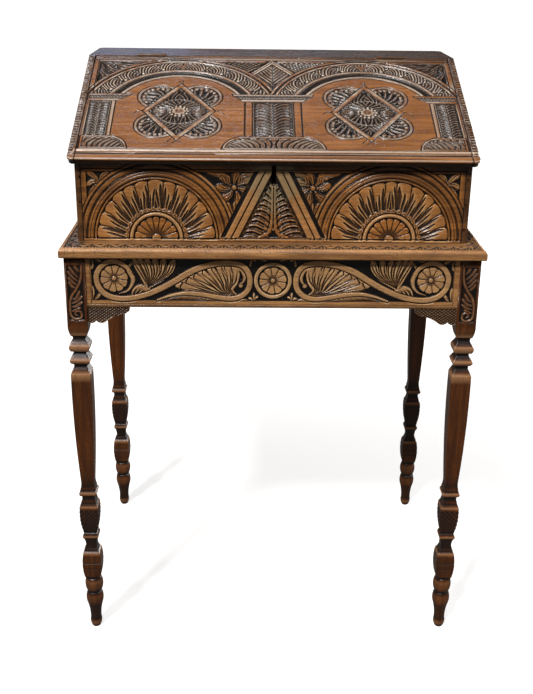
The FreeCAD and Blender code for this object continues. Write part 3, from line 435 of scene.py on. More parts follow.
# Strokes: sizes in millimetres; swellShares gives a stroke's width along its length.
strokeSpec = {"roughPoints": 20, "stepShare": 0.22, "shortestStep": 0.5, "points": (6, 200), "margin": 0.5,
              "outside": -9.0, "leafSlip": 0.25, "cutSlip": 0.2}
swellShares = {
    "leaf": ((0, 0.35, 0.7, 0.9, 1), (0.35, 0.8, 1, 0.9, 0.55)),
    "drop": ((0, 0.5, 0.85, 1), (0.15, 0.7, 1, 0.8)),
    "both": ((0, 0.25, 0.7, 1), (0.25, 0.9, 1, 0.2)),
    "even": ((0, 1), (1, 1)),
    "tail": ((0, 0.3, 1), (1, 0.95, 0.2)),
}


def flowing(points, count):
    # a smooth line through the points given
    points = np.array(points, float)
    ghost = np.vstack([2 * points[0] - points[1], points, 2 * points[-1] - points[-2]])
    spans = len(points) - 1
    t = np.linspace(0, spans, count)
    index = np.minimum(t.astype(int), spans - 1)
    f = (t - index)[:, None]
    a, b, c, d = (ghost[index + k] for k in range(4))
    return 0.5 * (2 * b + (c - a) * f + (2 * a - 5 * b + 4 * c - d) * f ** 2
                  + (3 * b - a - 3 * c + d) * f ** 3)


def strokePath(points, width):
    rough = flowing(points, strokeSpec["roughPoints"])
    length = np.hypot(*np.diff(rough, axis=0).T).sum()
    step = max(width * strokeSpec["stepShare"], strokeSpec["shortestStep"])
    return flowing(points, int(np.clip(length / step, *strokeSpec["points"])))


def window(panel, low, high):
    a, b = np.searchsorted(panel.us, (low[0], high[0]))
    c, d = np.searchsorted(panel.vs, (low[1], high[1]))
    return (slice(c, d), slice(a, b)), panel.us[None, a:b], panel.vs[c:d, None]


def strokeField(panel, path, radii):
    # how far inside a stroke of changing width each nearby point lies
    reach = radii.max() + strokeSpec["margin"]
    place, u, v = window(panel, path.min(0) - reach, path.max(0) + reach)
    field = np.full((v.shape[0], u.shape[1]), strokeSpec["outside"])
    for (x, y), radius in zip(path, radii):
        np.maximum(field, radius - np.hypot(u - x, v - y), out=field)
    return place, field


def stroke(panel, points, width, swell, slip):
    points = np.array(points, float) + hand.normal(0, slip, (len(points), 2))
    path = strokePath(points, width)
    return strokeField(panel, path, width / 2 * np.interp(np.linspace(0, 1, len(path)), *swellShares[swell]))


def ribbon(panel, points, width, base, top, swell="leaf", edge=None):
    # a leaf, petal or band left standing
    place, field = stroke(panel, points, width, swell, strokeSpec["leafSlip"])
    raiseRound(panel, field, edge or width / 2, base, top, place)


def gouge(panel, points, width, depth, swell="both"):
    # one cut; all cuts since the last workCuts are taken out together, so crossings don't deepen
    place, field = stroke(panel, points, width, swell, strokeSpec["cutSlip"])
    panel.cuts[place] = np.maximum(panel.cuts[place], depth * np.clip(field / (width / 2), 0, 1))


def workCuts(panel):
    panel.h -= panel.cuts
    panel.cuts[:] = 0


def stem(panel, points, width, sizes, ditch, base, top, edge):
    # a long stem cut clear of what it crosses by a ditch on either side: its width and the bank's
    path = strokePath(points, width)
    places, radii = sizes
    place, field = strokeField(panel, path, np.interp(np.linspace(0, 1, len(path)), places, radii) + ditch[0])
    low = base * np.clip(field / ditch[1], 0, 1)
    panel.h[place] = np.where(field > 0, np.minimum(panel.h[place], low), panel.h[place])
    raiseRound(panel, field - ditch[0], edge, base, top, place)


def knob(panel, middle, radius, base, top):
    place, u, v = window(panel, np.array(middle) - radius - 1, np.array(middle) + radius + 1)
    raiseRound(panel, radius - np.hypot(u - middle[0], v - middle[1]), radius, base, top, place)


def knobRing(panel, middle, reach, turns, radius, base, top):
    for turn in turns:
        place = (middle[0] + reach * math.cos(turn), middle[1] + reach * math.sin(turn))
        knob(panel, place, radius, base, top)


def sprung(root, angle, inner, outer, bend):
    # three points of a petal or cut that springs from a root, angles in degrees; bend swings its tip
    a, b = math.radians(angle), math.radians(angle + bend)
    return [(root[0] + reach * math.cos(turn), root[1] + reach * math.sin(turn))
            for reach, turn in ((inner, a), ((inner + outer) / 2, (a + b) / 2), (outer, b))]


def petals(ring, angle, wide):
    # share: 0 in the middle of a petal and 1 at its sides; edge: how far its nearest side is
    share = abs((angle / wide) % 1 - 0.5) * 2
    return share, (1 - share) * ring * math.radians(wide) / 2


def wander(panel, size, amount):
    # a slow uneven drift over the panel, so that nothing cut by hand runs quite true
    def weights(places):
        share = (places - places[0]) / size
        whole = share.astype(int)
        return whole, (1 - np.cos((share - whole) * math.pi)) / 2
    (row, fy), (column, fx) = weights(panel.vs), weights(panel.us)
    grid = hand.normal(0, amount, (row[-1] + 2, column[-1] + 2))
    upper, lower = (grid[row + k][:, column] * (1 - fx) + grid[row + k][:, column + 1] * fx for k in (0, 1))
    return upper * (1 - fy)[:, None] + lower * fy[:, None]


# How wear, dirt and painted light and shade gather, in millimetres of depth.
wearAndLightSpec = {
    # reach over which each amount is averaged; dirt and painted shade for each millimetre below what lies
    # near and wide around, and the dirt, painted shade and darkness that depth alone brings, between two
    # depths
    "reach": {"near": 1.4, "wide": 4.5, "busy": 1.8, "plain": 2.4},
    "near": 1.5, "wide": 0.5, "deepDirtAndShade": (0.6, 1.2, 2.4), "deepTone": (0.8, 0.25, 1.5),
    # what counts as flat, how much of it makes wood plain, and the heights at which that tells
    "flat": 0.05, "plainShares": (0.01, 0.07), "plainHeights": (-0.7, -0.3),
    # crests, rubbed and given a painted highlight: brightness for each millimetre, from and to which height;
    # how much high wood is kept from darkness, and from which height; how rough close carving is before it
    # greys with wax and a painted sheen
    "crestPolishAndHighlight": (2.0, 0.08, 0.6), "spared": (0.6, 0.1), "busy": (0.10, 0.32),
}
wearAndLightNames = ("recess", "tone", "worked")


def averaged(field, reach):
    # box blur, twice each way
    size = 2 * reach + 1
    for axis in (0, 0, 1, 1):
        edges = [(0, 0), (0, 0)]
        edges[axis] = (reach + 1, reach)
        total = np.cumsum(np.pad(field, edges, "edge"), axis)
        field = (total[:, size:] - total[:, :-size] if axis else total[size:] - total[:-size]) / size
    return field


def paintWearAndLight(panel, dirtAndShade, spec):
    # dirt and painted shade lie where the wood is lower than what is round it; crests get rubbed polish and a
    # painted highlight
    reach = {name: max(2 if name == "wide" else 1, round(size / panel.step))
             for name, size in spec["reach"].items()}
    near = averaged(panel.h, reach["near"]) - panel.h
    wide = averaged(panel.h, reach["wide"]) - panel.h
    busy = averaged(abs(near), reach["busy"])
    most, shallow, deep = spec["deepDirtAndShade"]
    recess = (spec["near"] * near + spec["wide"] * wide) * dirtAndShade
    recess = recess + most * smoothStep(-panel.h, shallow, deep) + panel.grimeAndShade
    # the rim of a plain field keeps the field's own look, so that nothing spreads over the field
    plain = averaged((abs(near) < spec["flat"]).astype(float), reach["plain"])
    carved = 1 - smoothStep(plain, *spec["plainShares"]) * smoothStep(panel.h, *spec["plainHeights"])
    polishAndHighlight, low, high = spec["crestPolishAndHighlight"]
    crestPolishAndHighlight = polishAndHighlight * np.clip(-near - low, 0, high)
    most, shallow, deep = spec["deepTone"]
    tone = np.clip(most * smoothStep(-panel.h, shallow, deep) + panel.tone - crestPolishAndHighlight * carved, -1, 1)
    most, low = spec["spared"]
    tone = np.where(tone > 0, tone * (1 - most * np.clip(-wide - low, 0, 1)), tone)
    worked = carved * np.clip(panel.dullAndSheen * smoothStep(busy, *spec["busy"]), 0, 1)
    return np.clip(recess, 0, 1), tone, worked


def placeSheet(panel, places, dirtAndShade):
    # gives the sheet's points their places and their wear, dirt and painted light and shade, and returns it
    # as a bmesh
    mesh, order = panel.mesh, panel.order
    spots = np.empty((len(mesh.vertices), 3))
    spots[order.ravel()] = np.stack(places, -1).reshape(-1, 3) * mm
    mesh.vertices.foreach_set("co", spots.ravel())
    for label, amounts in zip(wearAndLightNames, paintWearAndLight(panel, dirtAndShade, wearAndLightSpec)):
        levels = np.empty(order.size, np.float32)
        levels[order.ravel()] = amounts.ravel()
        mesh.attributes.new(label, "FLOAT", "POINT").data.foreach_set("value", levels)
    bm = bmesh.new()
    bm.from_mesh(mesh)
    return bm


# Pieces: the corners that stay sharp, in degrees, and the shortest edge left in a board, in millimetres.
pieceSpec = {"sharp": 50, "shortest": 0.04}


def finishPiece(bm, mesh, name, material, body, replaced, triangles):
    bmesh.ops.recalc_face_normals(bm, faces=bm.faces)
    if bm.calc_volume(signed=True) < 0:
        bmesh.ops.reverse_faces(bm, faces=bm.faces)
    count = sum(len(face.verts) - 2 for face in bm.faces)
    bm.to_mesh(mesh)
    bm.free()
    mesh.materials.clear()
    mesh.materials.append(material)
    mesh.shade_smooth()
    mesh.set_sharp_from_angle(angle=math.radians(pieceSpec["sharp"]))
    piece = bpy.data.objects.new(name, mesh)
    scene.collection.objects.link(piece)
    if count > triangles:
        thin = piece.modifiers.new("thin", "DECIMATE")
        thin.ratio = triangles / count
    flats = piece.modifiers.new("flats", "WEIGHTED_NORMAL")      # keeps the plain wood looking flat
    flats.keep_sharp = True
    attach(piece, body)
    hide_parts(replaced)
    return piece


def inOrder(items):
    # each once, in an order that is the same each run
    return list(dict.fromkeys(items))


# Turns a carved sheet into a closed board: wrap gives each point its place in millimetres, and each
# step in rings pushes the sheet's rim on, round to the hidden face, which is then closed.
def makeBoard(name, panel, wrap, rings, material, body, replaced, triangles=180000, dirtAndShade=1.0,
              openings=None):
    bm = placeSheet(panel, wrap(panel), dirtAndShade)
    if openings:
        bmesh.ops.delete(bm, geom=[face for face in bm.faces if openings(face.calc_center_median() / mm)],
                         context="FACES")
    rim = [edge for edge in bm.edges if edge.is_boundary]
    wearAndLight = [bm.verts.layers.float[label] for label in wearAndLightNames]
    for ring in rings:
        made = bmesh.ops.extrude_edge_only(bm, edges=rim)["geom"]
        rim = [item for item in made if isinstance(item, bmesh.types.BMEdge) and item.is_boundary]
        for vert in [item for item in made if isinstance(item, bmesh.types.BMVert)]:
            vert.co = Vector(ring(*(vert.co / mm))) * mm
            for layer in wearAndLight:
                vert[layer] = 0.0
    bmesh.ops.edgeloop_fill(bm, edges=rim)
    shortest = pieceSpec["shortest"] * mm
    short = inOrder(vert for edge in bm.edges if edge.calc_length() < shortest for vert in edge.verts)
    bmesh.ops.remove_doubles(bm, verts=short, dist=shortest)
    return finishPiece(bm, panel.mesh, name, material, body, replaced, triangles)


# The lid: two round arches on three pilasters, each over a lozenge with four lobes. Places are measured
# down the slope from the hinge edge and out from the middle.
lidSpec = {
    "width": 640.0, "length": 316.0, "thick": 16.0, "mitre": 0.3, "slope": 23.65,
    "hinge": (70.0, 979.5), "noseRadius": 2.2, "cove": 10.0, "roundCorner": 8.0,
    "ground": -2.6, "spacing": 0.8, "dirtAndShade": 2.1, "drift": (16, 0.5),
    # arches: centre, leaf band and hollow band (inner and outer radius), fillets (and their height)
    "arch": (154.0, 177.0), "archFoot": 127.0, "leafBand": (130.0, 155.0), "hollowBand": (113.0, 124.0),
    "fillets": ((163.0, 167.5, 0.0), (154.6, 159.2, 0.0), (124.6, 129.8, 0.0), (106.8, 112.8, 0.1)),
    "leafPitch": 38.0, "crownLeaves": (-64, -40, -16, 8),
    # lozenges: half width and height, places and radii of the lobes and the flower, stray cuts at the tips
    "lozenge": (60, 86), "lobe": (33.5, 42.5), "lobeRoot": (17, 21), "lobeRadius": 30.8,
    "lobeLines": (31.2, 37.2), "flowerRadius": 36, "eye": (17.8, 14.4, 12.4, 11.4, 4.2),
    "tipCuts": (((8, 78), (-1, 87), (-9, 96)), ((-1, 82), (5, 88), (11, 92)),
                ((-2, 74), (-12, 86), (-14, 92)), ((-55, -6), (-64, 1), (-72, 0)),
                ((56, 6), (64, -2), (73, -5)), ((-52, 9), (-62, 0), (-70, -8)),
                ((-60, 2), (-69, 3), (-74, 11)), ((61, 2), (70, 4), (76, 11)),
                ((-5, -80), (3, -90), (0, -98)), ((6, -80), (-2, -90), (-5, -95))),
    # pilasters: heights of capital, shaft and base, and the shafts' sides; palmette between the arches
    "capital": (125.5, 147.0), "shaft": (149.0, 249.0), "shaftLines": (147, 250),
    "outerShaft": (268.5, 302.0), "middleShaft": 31.5, "base": (37.0, 286.5), "outerBase": 306.0,
    "chevron": (36, 42),
    # mouldings across and along the edges, then cracks at the lower moulding (place and length)
    "edgeLine": 308.2, "roll": (288.0, 295.6), "band": 287.0, "groove": 298.6, "arris": 313.4,
    "cracks": ((-185, 3.2), (-88, 4.0), (-60, 2.2), (66, 3.0), (171, 3.4), (262, 2.4)),
}


def carveLozenge(panel, middle, spec, drift):
    x, y = middle
    ground = spec["ground"]
    halfWide, halfTall = spec["lozenge"]
    du, dv = panel.u - x, panel.v - y
    outer = (halfWide * halfTall - halfTall * abs(du) - halfWide * abs(dv)) / math.hypot(halfWide, halfTall)
    inside = outer - 8.4
    for sx, sy in ((-1, -1), (-1, 1), (1, -1), (1, 1)):
        lobe = (x + sx * spec["lobe"][0], y + sy * spec["lobe"][1])
        away, _ = polar(panel, lobe)
        hollow = np.minimum(spec["lobeRadius"] - away, -outer - 0.2)
        root = (x + sx * spec["lobeRoot"][0], y + sy * spec["lobeRoot"][1])
        angle = np.degrees(np.arctan2((panel.v - root[1]) * sy, (panel.u - root[0]) * sx))
        reach = np.hypot(panel.v - root[1], panel.u - root[0])
        levelTo(panel, hollow, -0.7)
        flutes(panel, hollow, (angle + sx * sy * reach * 0.5 + drift * 3) / 14.5, 1.9)
        cutLine(panel, reach - 31 - 2.2 * np.cos(np.radians(angle) * 10), 1.5, 1.2, hollow > 0)
        knobRing(panel, lobe, 26.6, math.atan2(sy, sx) + np.radians(np.arange(-80, 90, 19)), 3.9, -1.9, -0.2)
        near, far = spec["lobeLines"]
        cutLine(panel, away - near, 1.3, 1.8, outer < -0.2)
        cutLine(panel, away - far, 1.3, 1.7, outer < -0.2)
        levelTo(panel, least(far - 1.2 - away, away - near - 1.2, -outer - 0.6), -0.1, 0.8)
    # the flower inside, its petals like flames above and below
    levelTo(panel, inside, -0.8, 1.3)
    ring, angle = polar(panel, middle)
    swirl = angle + 7 * np.sin(ring / 7.5) * np.sign(du) + drift * 3
    flutes(panel, np.minimum(inside, spec["flowerRadius"] - ring), swirl / 15, 2.1)
    flutes(panel, np.minimum(inside, ring - spec["flowerRadius"]), swirl / 9 + 0.5, 2.0)
    for sx in (-1, 1):
        blob = np.hypot((du - sx * 32) * 0.9, dv)
        levelTo(panel, np.minimum(12.2 - blob, inside), ground, 0.8)
        raiseRound(panel, np.minimum(10.6 - blob, inside), 6.0, ground, 0.0)
        bow = (dv + sx * (du - sx * 32) ** 2 * 0.05) / 4.6 + 0.5
        flutes(panel, np.minimum(10.0 - blob, inside), bow, 1.6, edge=2.0)
    dish, beads, inner, rosette, heart = spec["eye"]
    levelTo(panel, dish - ring, ground, 0.8)
    knobRing(panel, middle, beads, np.radians(np.arange(0, 360, 27.7)), 3.2, ground, -0.1)
    levelTo(panel, inner - ring, ground * 0.9, 0.8)
    raiseRound(panel, rosette + 1.0 * np.cos(np.radians(angle) * 9) - ring, 1.6, ground, 0.1)
    cutLine(panel, ring - heart, 1.1, 0.8)
    # the lozenge's band, with a line each side; its ends run past each other
    levelTo(panel, np.minimum(outer - 1.2, 7.2 - outer), 0.0, 0.7)
    cutLine(panel, outer - 0.1, 1.5, 2.0)
    cutLine(panel, outer - 8.2, 1.2, 1.2)
    for tip in spec["tipCuts"]:
        gouge(panel, [(x + a, y + b) for a, b in tip], 2.2, 1.5)
    workCuts(panel)


def carveArch(panel, side, spec, drift):
    ground = spec["ground"]
    x, y = side * spec["arch"][0], spec["arch"][1]
    ring, _ = polar(panel, (x, y))
    above = spec["archFoot"] - panel.v
    inner, outer = spec["leafBand"]
    middle = (inner + outer) / 2
    band = least(outer - ring, ring - inner, above)
    along = middle * np.arctan2(abs(panel.u - x), y - panel.v)      # down from the crown, either side
    across = ring - middle
    levelTo(panel, band, -0.5, 1.0)
    # leaves one behind the other: veins in bows round each leaf's foot, and a dark gap between
    turn = np.floor((along - 5.0) / spec["leafPitch"])
    local = along - 5.0 - turn * spec["leafPitch"] + drift * 1.2
    sway = np.cos(turn * 2.4 + side)
    bow = np.hypot(local + 5 + 2 * sway, across + 15 + 2 * sway)
    flutes(panel, band, bow / 5.0 + 0.12 * turn + 0.25 * drift, 2.1, leafy=True)
    flutes(panel, np.minimum(band, 25 - bow), bow / 2.5, 0.6)
    levelTo(panel, least(local - 27 - 2 * sway, -3.5 - across, band), ground - 0.2, 0.8)
    levelTo(panel, least(local - 33, across - 5, band), ground)
    raiseRound(panel, 3.4 - np.hypot(local - 31, across + 8), 2.6, ground, 0.2)
    cutLine(panel, local - 1.0 - 3 * np.sin(across / 7), 1.6, 2.0, band > 0)
    for angle in spec["crownLeaves"]:
        crown = math.radians(angle + 28 - 90)
        ribbon(panel, [(x, y - 128), (x + 9 * math.cos(crown), y - 139 + 4 * math.sin(crown)),
                       (x + 20 * math.cos(crown), y - 133 + 22 * math.sin(crown))], 4.6, ground, -0.3)
    # the dark hollow band, with short strokes across it
    inner, outer = spec["hollowBand"]
    hollow = least(outer - ring, ring - inner, above)
    levelTo(panel, hollow, ground - 0.3, 1.0)
    flutes(panel, hollow, (along * 0.83 + ring * 0.5) / 4.4, 0.9, leafy=True, edge=3.0)
    for inner, outer, top in spec["fillets"]:
        levelTo(panel, least(ring - inner + 1.2, outer - ring + 1.2, above), -1.7, 1.0)
        raiseRound(panel, least(ring - inner, outer - ring, above), 2.2, -1.7, top)
    cutLine(panel, ring - 161.0, 2.2, 1.6, above > 0)
    cutLine(panel, ring - 106.0, 1.2, 1.5, above > 0)


def carveShaft(panel, low, high, spec, pitch, rise):
    # a shaft filled with leaves that climb from a vein and turn over near the sides
    top, foot = spec["shaft"]
    vein = (low + high) / 2
    field = least(panel.u - low, high - panel.u, panel.v - top, foot - panel.v)
    out = abs(panel.u - vein) / ((high - low) / 2)
    climb = rise * np.sin(np.clip(out / 0.66, 0, 2.0) * math.pi / 2)
    wobble = 0.12 * np.sin(panel.v / 9 + vein)
    levelTo(panel, field, -0.6, 1.0)
    flutes(panel, field, (panel.v + climb) / pitch + wobble, 1.7, leafy=True)
    flutes(panel, np.minimum(field, (out - 0.12) * 20), (panel.v + climb) * 2 / pitch + wobble, 0.5, edge=2.0)
    cutLine(panel, out, 0.07, 0.9, field > 0)
    cutLine(panel, out - 0.90, 0.10, 0.9, field > 0)
    cutLine(panel, field - 0.4, 1.5, 1.6)
    panel.tone += 0.25 * (field > 0)


def carveSpandrels(panel, spec, drift):
    # leaves in the outer corners, hatching and a palmette under a chevron between the arches
    v, side, arch = panel.v, abs(panel.u), spec["arch"]
    ring = np.hypot(side - arch[0], v - arch[1])
    spandrel = least(ring - 168.0, 298.4 - side, v - 19.0, 126.0 - v)
    corner = np.where(side > arch[0], spandrel, -1)
    levelTo(panel, corner, -0.7)
    away = np.hypot(299 - side, v - 17)
    angle = np.degrees(np.arctan2(v - 17, 299.5 - side))
    flutes(panel, corner, (angle + drift * 4 + 6 * np.sin(away / 8)) / 30, 1.7, leafy=True)
    flutes(panel, corner, (angle + drift * 4 + away * 0.35) / 7.5, 1.1)
    cutLine(panel, away - 30 - 6 * np.cos(np.radians(angle) * 12), 2.2, 1.1, corner > 0)
    between = np.where(side < arch[0], spandrel, -1)
    levelTo(panel, between, -0.6)
    wide, tall = spec["chevron"]
    chevron = (v - 13.0) * wide / math.hypot(wide, tall) - side * tall / math.hypot(wide, tall)
    flutes(panel, between, (side * 0.8 - v + drift * 1.5) / 7.2, 1.7)
    flutes(panel, between, (side * 0.8 + v) / 9.5, 0.6, leafy=True)
    # palmette: leaves climb from the foot, the lowest follow the arches
    palm = np.minimum(between, chevron - 8.0)
    levelTo(panel, palm, -0.6)
    climb = v + side * (1.5 - 0.004 * v) + drift * 2
    flutes(panel, palm, climb / 9.4, 2.3, leafy=True)
    flutes(panel, palm, climb / 4.7 + 0.5, 0.5)
    for k, width in ((3.5, 2.6), (9.5, 2.8), (16.0, 2.8)):
        cutLine(panel, ring - 168.5 - k, width * 0.7, 1.9, (palm > 0) & (v > 62 + k * 1.2))
    cutLine(panel, side, 1.5, 1.5, palm > 0)
    # the chevron band: a wide dark groove outside a ridge
    band = (between > -3) & (v < 64) & (side < 42)
    levelTo(panel, np.where(band, np.minimum(chevron + 1.0, 8.2 - chevron), -1), -0.2, 0.9)
    for place, half, depth in ((-3.0, 4.0, 2.8), (3.6, 1.0, 1.2), (8.2, 1.4, 1.9)):
        cutLine(panel, chevron - place, half, depth, band)


def carvePilasters(panel, spec, drift):
    u, v, side = panel.u, panel.v, abs(panel.u)
    # capitals: a bright fillet above and below a punched band, the inner ends flared
    top, foot = spec["capital"]
    flare = np.clip(v - 127, 0, 20) ** 1.5
    capital = np.maximum(least(side - (235 + flare * 0.26), v - top, foot - v, 306.5 - side),
                         least(67 - flare * 0.20 - side, v - top, foot - v))
    levelTo(panel, capital + 1.6, -1.8, 1.0)
    raiseRound(panel, capital, 1.6, -1.8, 0.1)
    punched = least(capital - 2.6, v - 129.6, 141.6 - v)
    levelTo(panel, punched, -0.8, 0.7)
    cutLine(panel, punched, 0.9, 1.2)
    row = np.round((v - 132.6) / 5.6)
    du = (u + 2.6 * row) / 5.2
    away = np.hypot((du - np.round(du)) * 5.2, (v - 132.6) - 5.6 * row)
    cutLine(panel, away - 1.5, 1.1, 1.5, punched > 0.3)
    top, foot = spec["shaftLines"]
    beside = (v > top) & (v < foot)
    for sx in (-1, 1):
        carveShaft(panel, *sorted(sx * place for place in spec["outerShaft"]), spec, 7.0, 8.0)
        cutLine(panel, u - sx * 266.4, 1.5, 2.2, beside)
        cutLine(panel, u - sx * 259.4, 1.3, 1.9, beside)
    carveShaft(panel, -spec["middleShaft"], spec["middleShaft"], spec, 8.6, 15.0)
    cutLine(panel, side - 33.6, 1.9, 2.3, beside)
    cutLine(panel, side - 46.2, 2.0, 2.3, beside)
    # bases: leaf strokes fan out under a double quarter-round outline
    tall, high = spec["base"]
    for away, wide, outermost in ((side, 82.0, False), (spec["outerBase"] - side, 76.0, True)):
        curve = np.hypot(np.clip(away - 44.0, 0, 200) * tall / (wide - 44.0), high - v)
        field = np.minimum(tall - curve, high - v)
        field = np.minimum(field, away) if outermost else field
        levelTo(panel, field, -0.1, 0.9)
        here = (v < high - 0.5) & (away > -0.5)
        cutLine(panel, field, 1.3, 2.0, here)
        cutLine(panel, field - 4.8, 1.1, 1.6, here)
        inner = np.minimum(field - 5.4, away - 1.5) if outermost else field - 5.4
        levelTo(panel, inner, -0.6, 1.0)
        lean = away * 0.45 + 4 if outermost else away * 0.55 + (away / wide) ** 2 * 18
        phase = (away + (high - v) / tall * lean * -0.9 + 5 * np.sin((v - 250) / 12) + drift * 1.5) / 7.4
        flutes(panel, inner, phase, 1.9, leafy=True)
        flutes(panel, inner, phase * 2 + 0.5, 0.5)
        panel.tone -= 0.3 * (inner > 0)


def carveLidEdges(panel, spec):
    v, side, band = panel.v, abs(panel.u), spec["band"]
    # lines: along which way, place, half width, depth, and where
    for field, place, half, depth, where in (
            (side, spec["edgeLine"], 1.2, 2.0, True), (side, 299.6, 1.0, 1.8, (v > 14) & (v < 126)),
            (side, 305.2, 0.8, 1.2, (v > 126) & (v < band)), (v, 6.6, 1.0, 1.4, side < 308),
            (v, 13.4, 1.6, 2.2, side < 308), (v, 18.4, 0.9, 1.4, side < 304),
            (v, band, 1.2, 1.8, side < 308)):
        cutLine(panel, field - place, half, depth, where)
    low, high = spec["roll"]
    roll = np.minimum(v - low, high - v)
    panel.h += (roll > 0) * (roundOver(roll, 2.8) * 3.0 - 1.6 - 0.30 * np.clip(v - 289.5, 0, 8))
    cutLine(panel, v - spec["groove"], 2.9, 3.4)
    panel.h -= 0.4 * smoothStep(v, 298, 300) * smoothStep(-v, -312.5, -310.5)
    arris = np.clip(1 - abs(v - spec["arris"]) / 2.4, 0, 1)
    panel.h += 0.5 * arris
    # a painted highlight along the raised arris
    panel.tone -= 0.8 * arris
    panel.dullAndSheen = np.where(v < band, 1.0, 0.1)
    # nicks cut along the side arrises, a crack, and the wear of the edges
    for sx in (-1, 1):
        place = 4.0
        while place < 296:
            tip = (sx * (314.0 + hand.uniform(-1.5, 1.0)), place + hand.uniform(-0.6, 0.6))
            gouge(panel, [(sx * 321, place), tip], hand.uniform(3.6, 4.8), hand.uniform(3.0, 4.0), "even")
            place += hand.uniform(6.4, 8.4)
    gouge(panel, [(308, 158), (314, 157), (321, 159)], 2.0, 3.0)
    for place, size in spec["cracks"]:
        gouge(panel, [(place - size, band), (place + size, band + 0.4)], 2.6, 1.6)
    workCuts(panel)
    panel.h -= 1.6 * (1 - roundOver(spec["width"] / 2 + 0.2 - side, 2.2))
    panel.tone += 0.6 * smoothStep(side, 300, 312) * (v < band + 1) + 0.6 * smoothStep(-v, -22, -12)


def carveLid(panel, spec):
    drift = wander(panel, *spec["drift"])
    carveSpandrels(panel, spec, drift)
    for sx in (-1, 1):
        carveArch(panel, sx, spec, drift)
        carveLozenge(panel, (sx * spec["arch"][0], spec["arch"][1]), spec, drift)
    carvePilasters(panel, spec, drift)
    carveLidEdges(panel, spec)


def makeLid(spec):
    length, thick, cove, turn = spec["length"], spec["thick"], spec["cove"], spec["noseRadius"]
    half, mitre, slope = spec["width"] / 2, spec["mitre"], math.radians(spec["slope"])
    hingeY, hingeZ = spec["hinge"]
    # lengths along the sheet: down the face, round the arris, and down the cove under it
    flat, arc, rest = length - turn, turn * math.pi / 2, (cove + thick - turn) * math.pi / 4
    panel = newPanel((-half, mitre), (half, flat + arc + rest), spec["spacing"])
    carveLid(panel, spec)

    def tilted(x, forward, height):
        # from a place down the slope and a height square to it
        return (x, hingeY - forward * math.cos(slope) - height * math.sin(slope),
                hingeZ - forward * math.sin(slope) + height * math.cos(slope))

    def wrap(panel):
        s, curve = panel.v, spec["roundCorner"]
        angle = np.clip((s - flat) / turn, 0, math.pi / 2)
        low = np.clip((s - flat - arc) / rest, 0, 1) * math.pi / 2
        forward = np.clip(s, None, flat) + turn * np.sin(angle) - cove * np.sin(low) + panel.h * np.sin(angle)
        height = -turn * (1 - np.cos(angle)) - (thick - turn) * (1 - np.cos(low)) + panel.h * np.cos(angle)
        corner = np.clip(half - abs(panel.u), 0, curve)
        bite = curve - np.sqrt(np.clip(curve ** 2 - (curve - corner) ** 2, 0, curve ** 2))
        return tilted(panel.u, forward - bite * smoothStep(s, 280, flat), height)

    def toUnder(x, y, z):
        # straight through the board's thickness, and back along the mitre at the hinge edge
        forward = -(y - hingeY) * math.cos(slope) - (z - hingeZ) * math.sin(slope)
        if forward <= mitre + 0.5:
            forward = mitre + thick * math.tan(slope / 2)
        return tilted(x, min(forward, length - cove), -thick)

    return makeBoard("carved_lid", panel, wrap, [toUnder], lidOak, "lid", "lid", dirtAndShade=spec["dirtAndShade"])


makeLid(lidSpec)
print("lid carved")


# The front of the box: two lunettes and, between them, an inverted V round a palmette. Shapes given for
# one side are for the right half, u from the middle; the left half mirrors them.
frontSpec = {
    "low": (-311.0, 718.0), "high": (311.0, 843.9), "face": -199.5, "thick": 14.0,
    "rebate": (299.0, -192.5), "slope": 23.65, "keyhole": (3.5, 811.0), "ground": -2.6, "spacing": 0.7,
    "drift": (18, 0.6),
    # lunettes: centre, rings (inner and outer radius, rounding, height), petals, and the half flower inside
    "lunette": (186.0, 722.6), "lunetteRadius": 126.5,
    "rings": ((120.6, 125.6, 2.0, 0.1), (111.4, 119.2, 2.6, 0.0), (99.4, 109.6, 4.4, 0.5),
              (94.9, 98.6, 1.6, -0.3)),
    "petals": 13, "petalField": 94.6, "petalEnds": (49.0, 94.0), "flutesPerPetal": 3.0,
    "scallops": 48.6, "innerRoll": (36.4, 43.0), "smallPetal": 20.0, "smallEnds": (7, 34.8),
    # corner leaves: where they spring from, and each tip and width
    "cornerRoot": (272, 812), "cornerLeaves": (((291, 829), 11), ((240, 829.5), 10), ((291, 782), 10),
                                               ((260, 828), 9), ((292, 808), 9)),
    "cornerBand": ((288, 786), (280, 803), (270, 812), (256, 822)),
    "cornerBandCut": ((288, 788), (279, 802), (269, 811), (256, 821)),
    # flower beside the V: middle, petals (direction, reach, width), leaves under it and tips over it
    "flower": (62, 805),
    "flowerPetals": ((93, 25, 16), (42, 27, 15), (146, 28, 16), (-6, 24, 15), (192, 24, 16), (-60, 27, 16),
                     (240, 24, 16)),
    "flowerFeet": ((-10, 24), (10, 24), (0, 25)),
    "flowerTips": ((104, 829), (92, 828), (84, 820), (40, 828), (30, 828)),
    # the V's bands (middle, half width, height), and the stem of the palmette
    "bandTilt": 0.5, "bandStart": 60.5, "bands": ((0.0, 5.0, -0.1), (10.6, 4.4, -0.2)),
    "palmStem": ((22, 725), (9, 731), (3.0, 748), (1.5, 806)),
    "palmCut": ((27, 727), (12, 735), (6.4, 750), (4.4, 800)),
}


def mirrored(points, way):
    return [(way * x, z) for x, z in points]


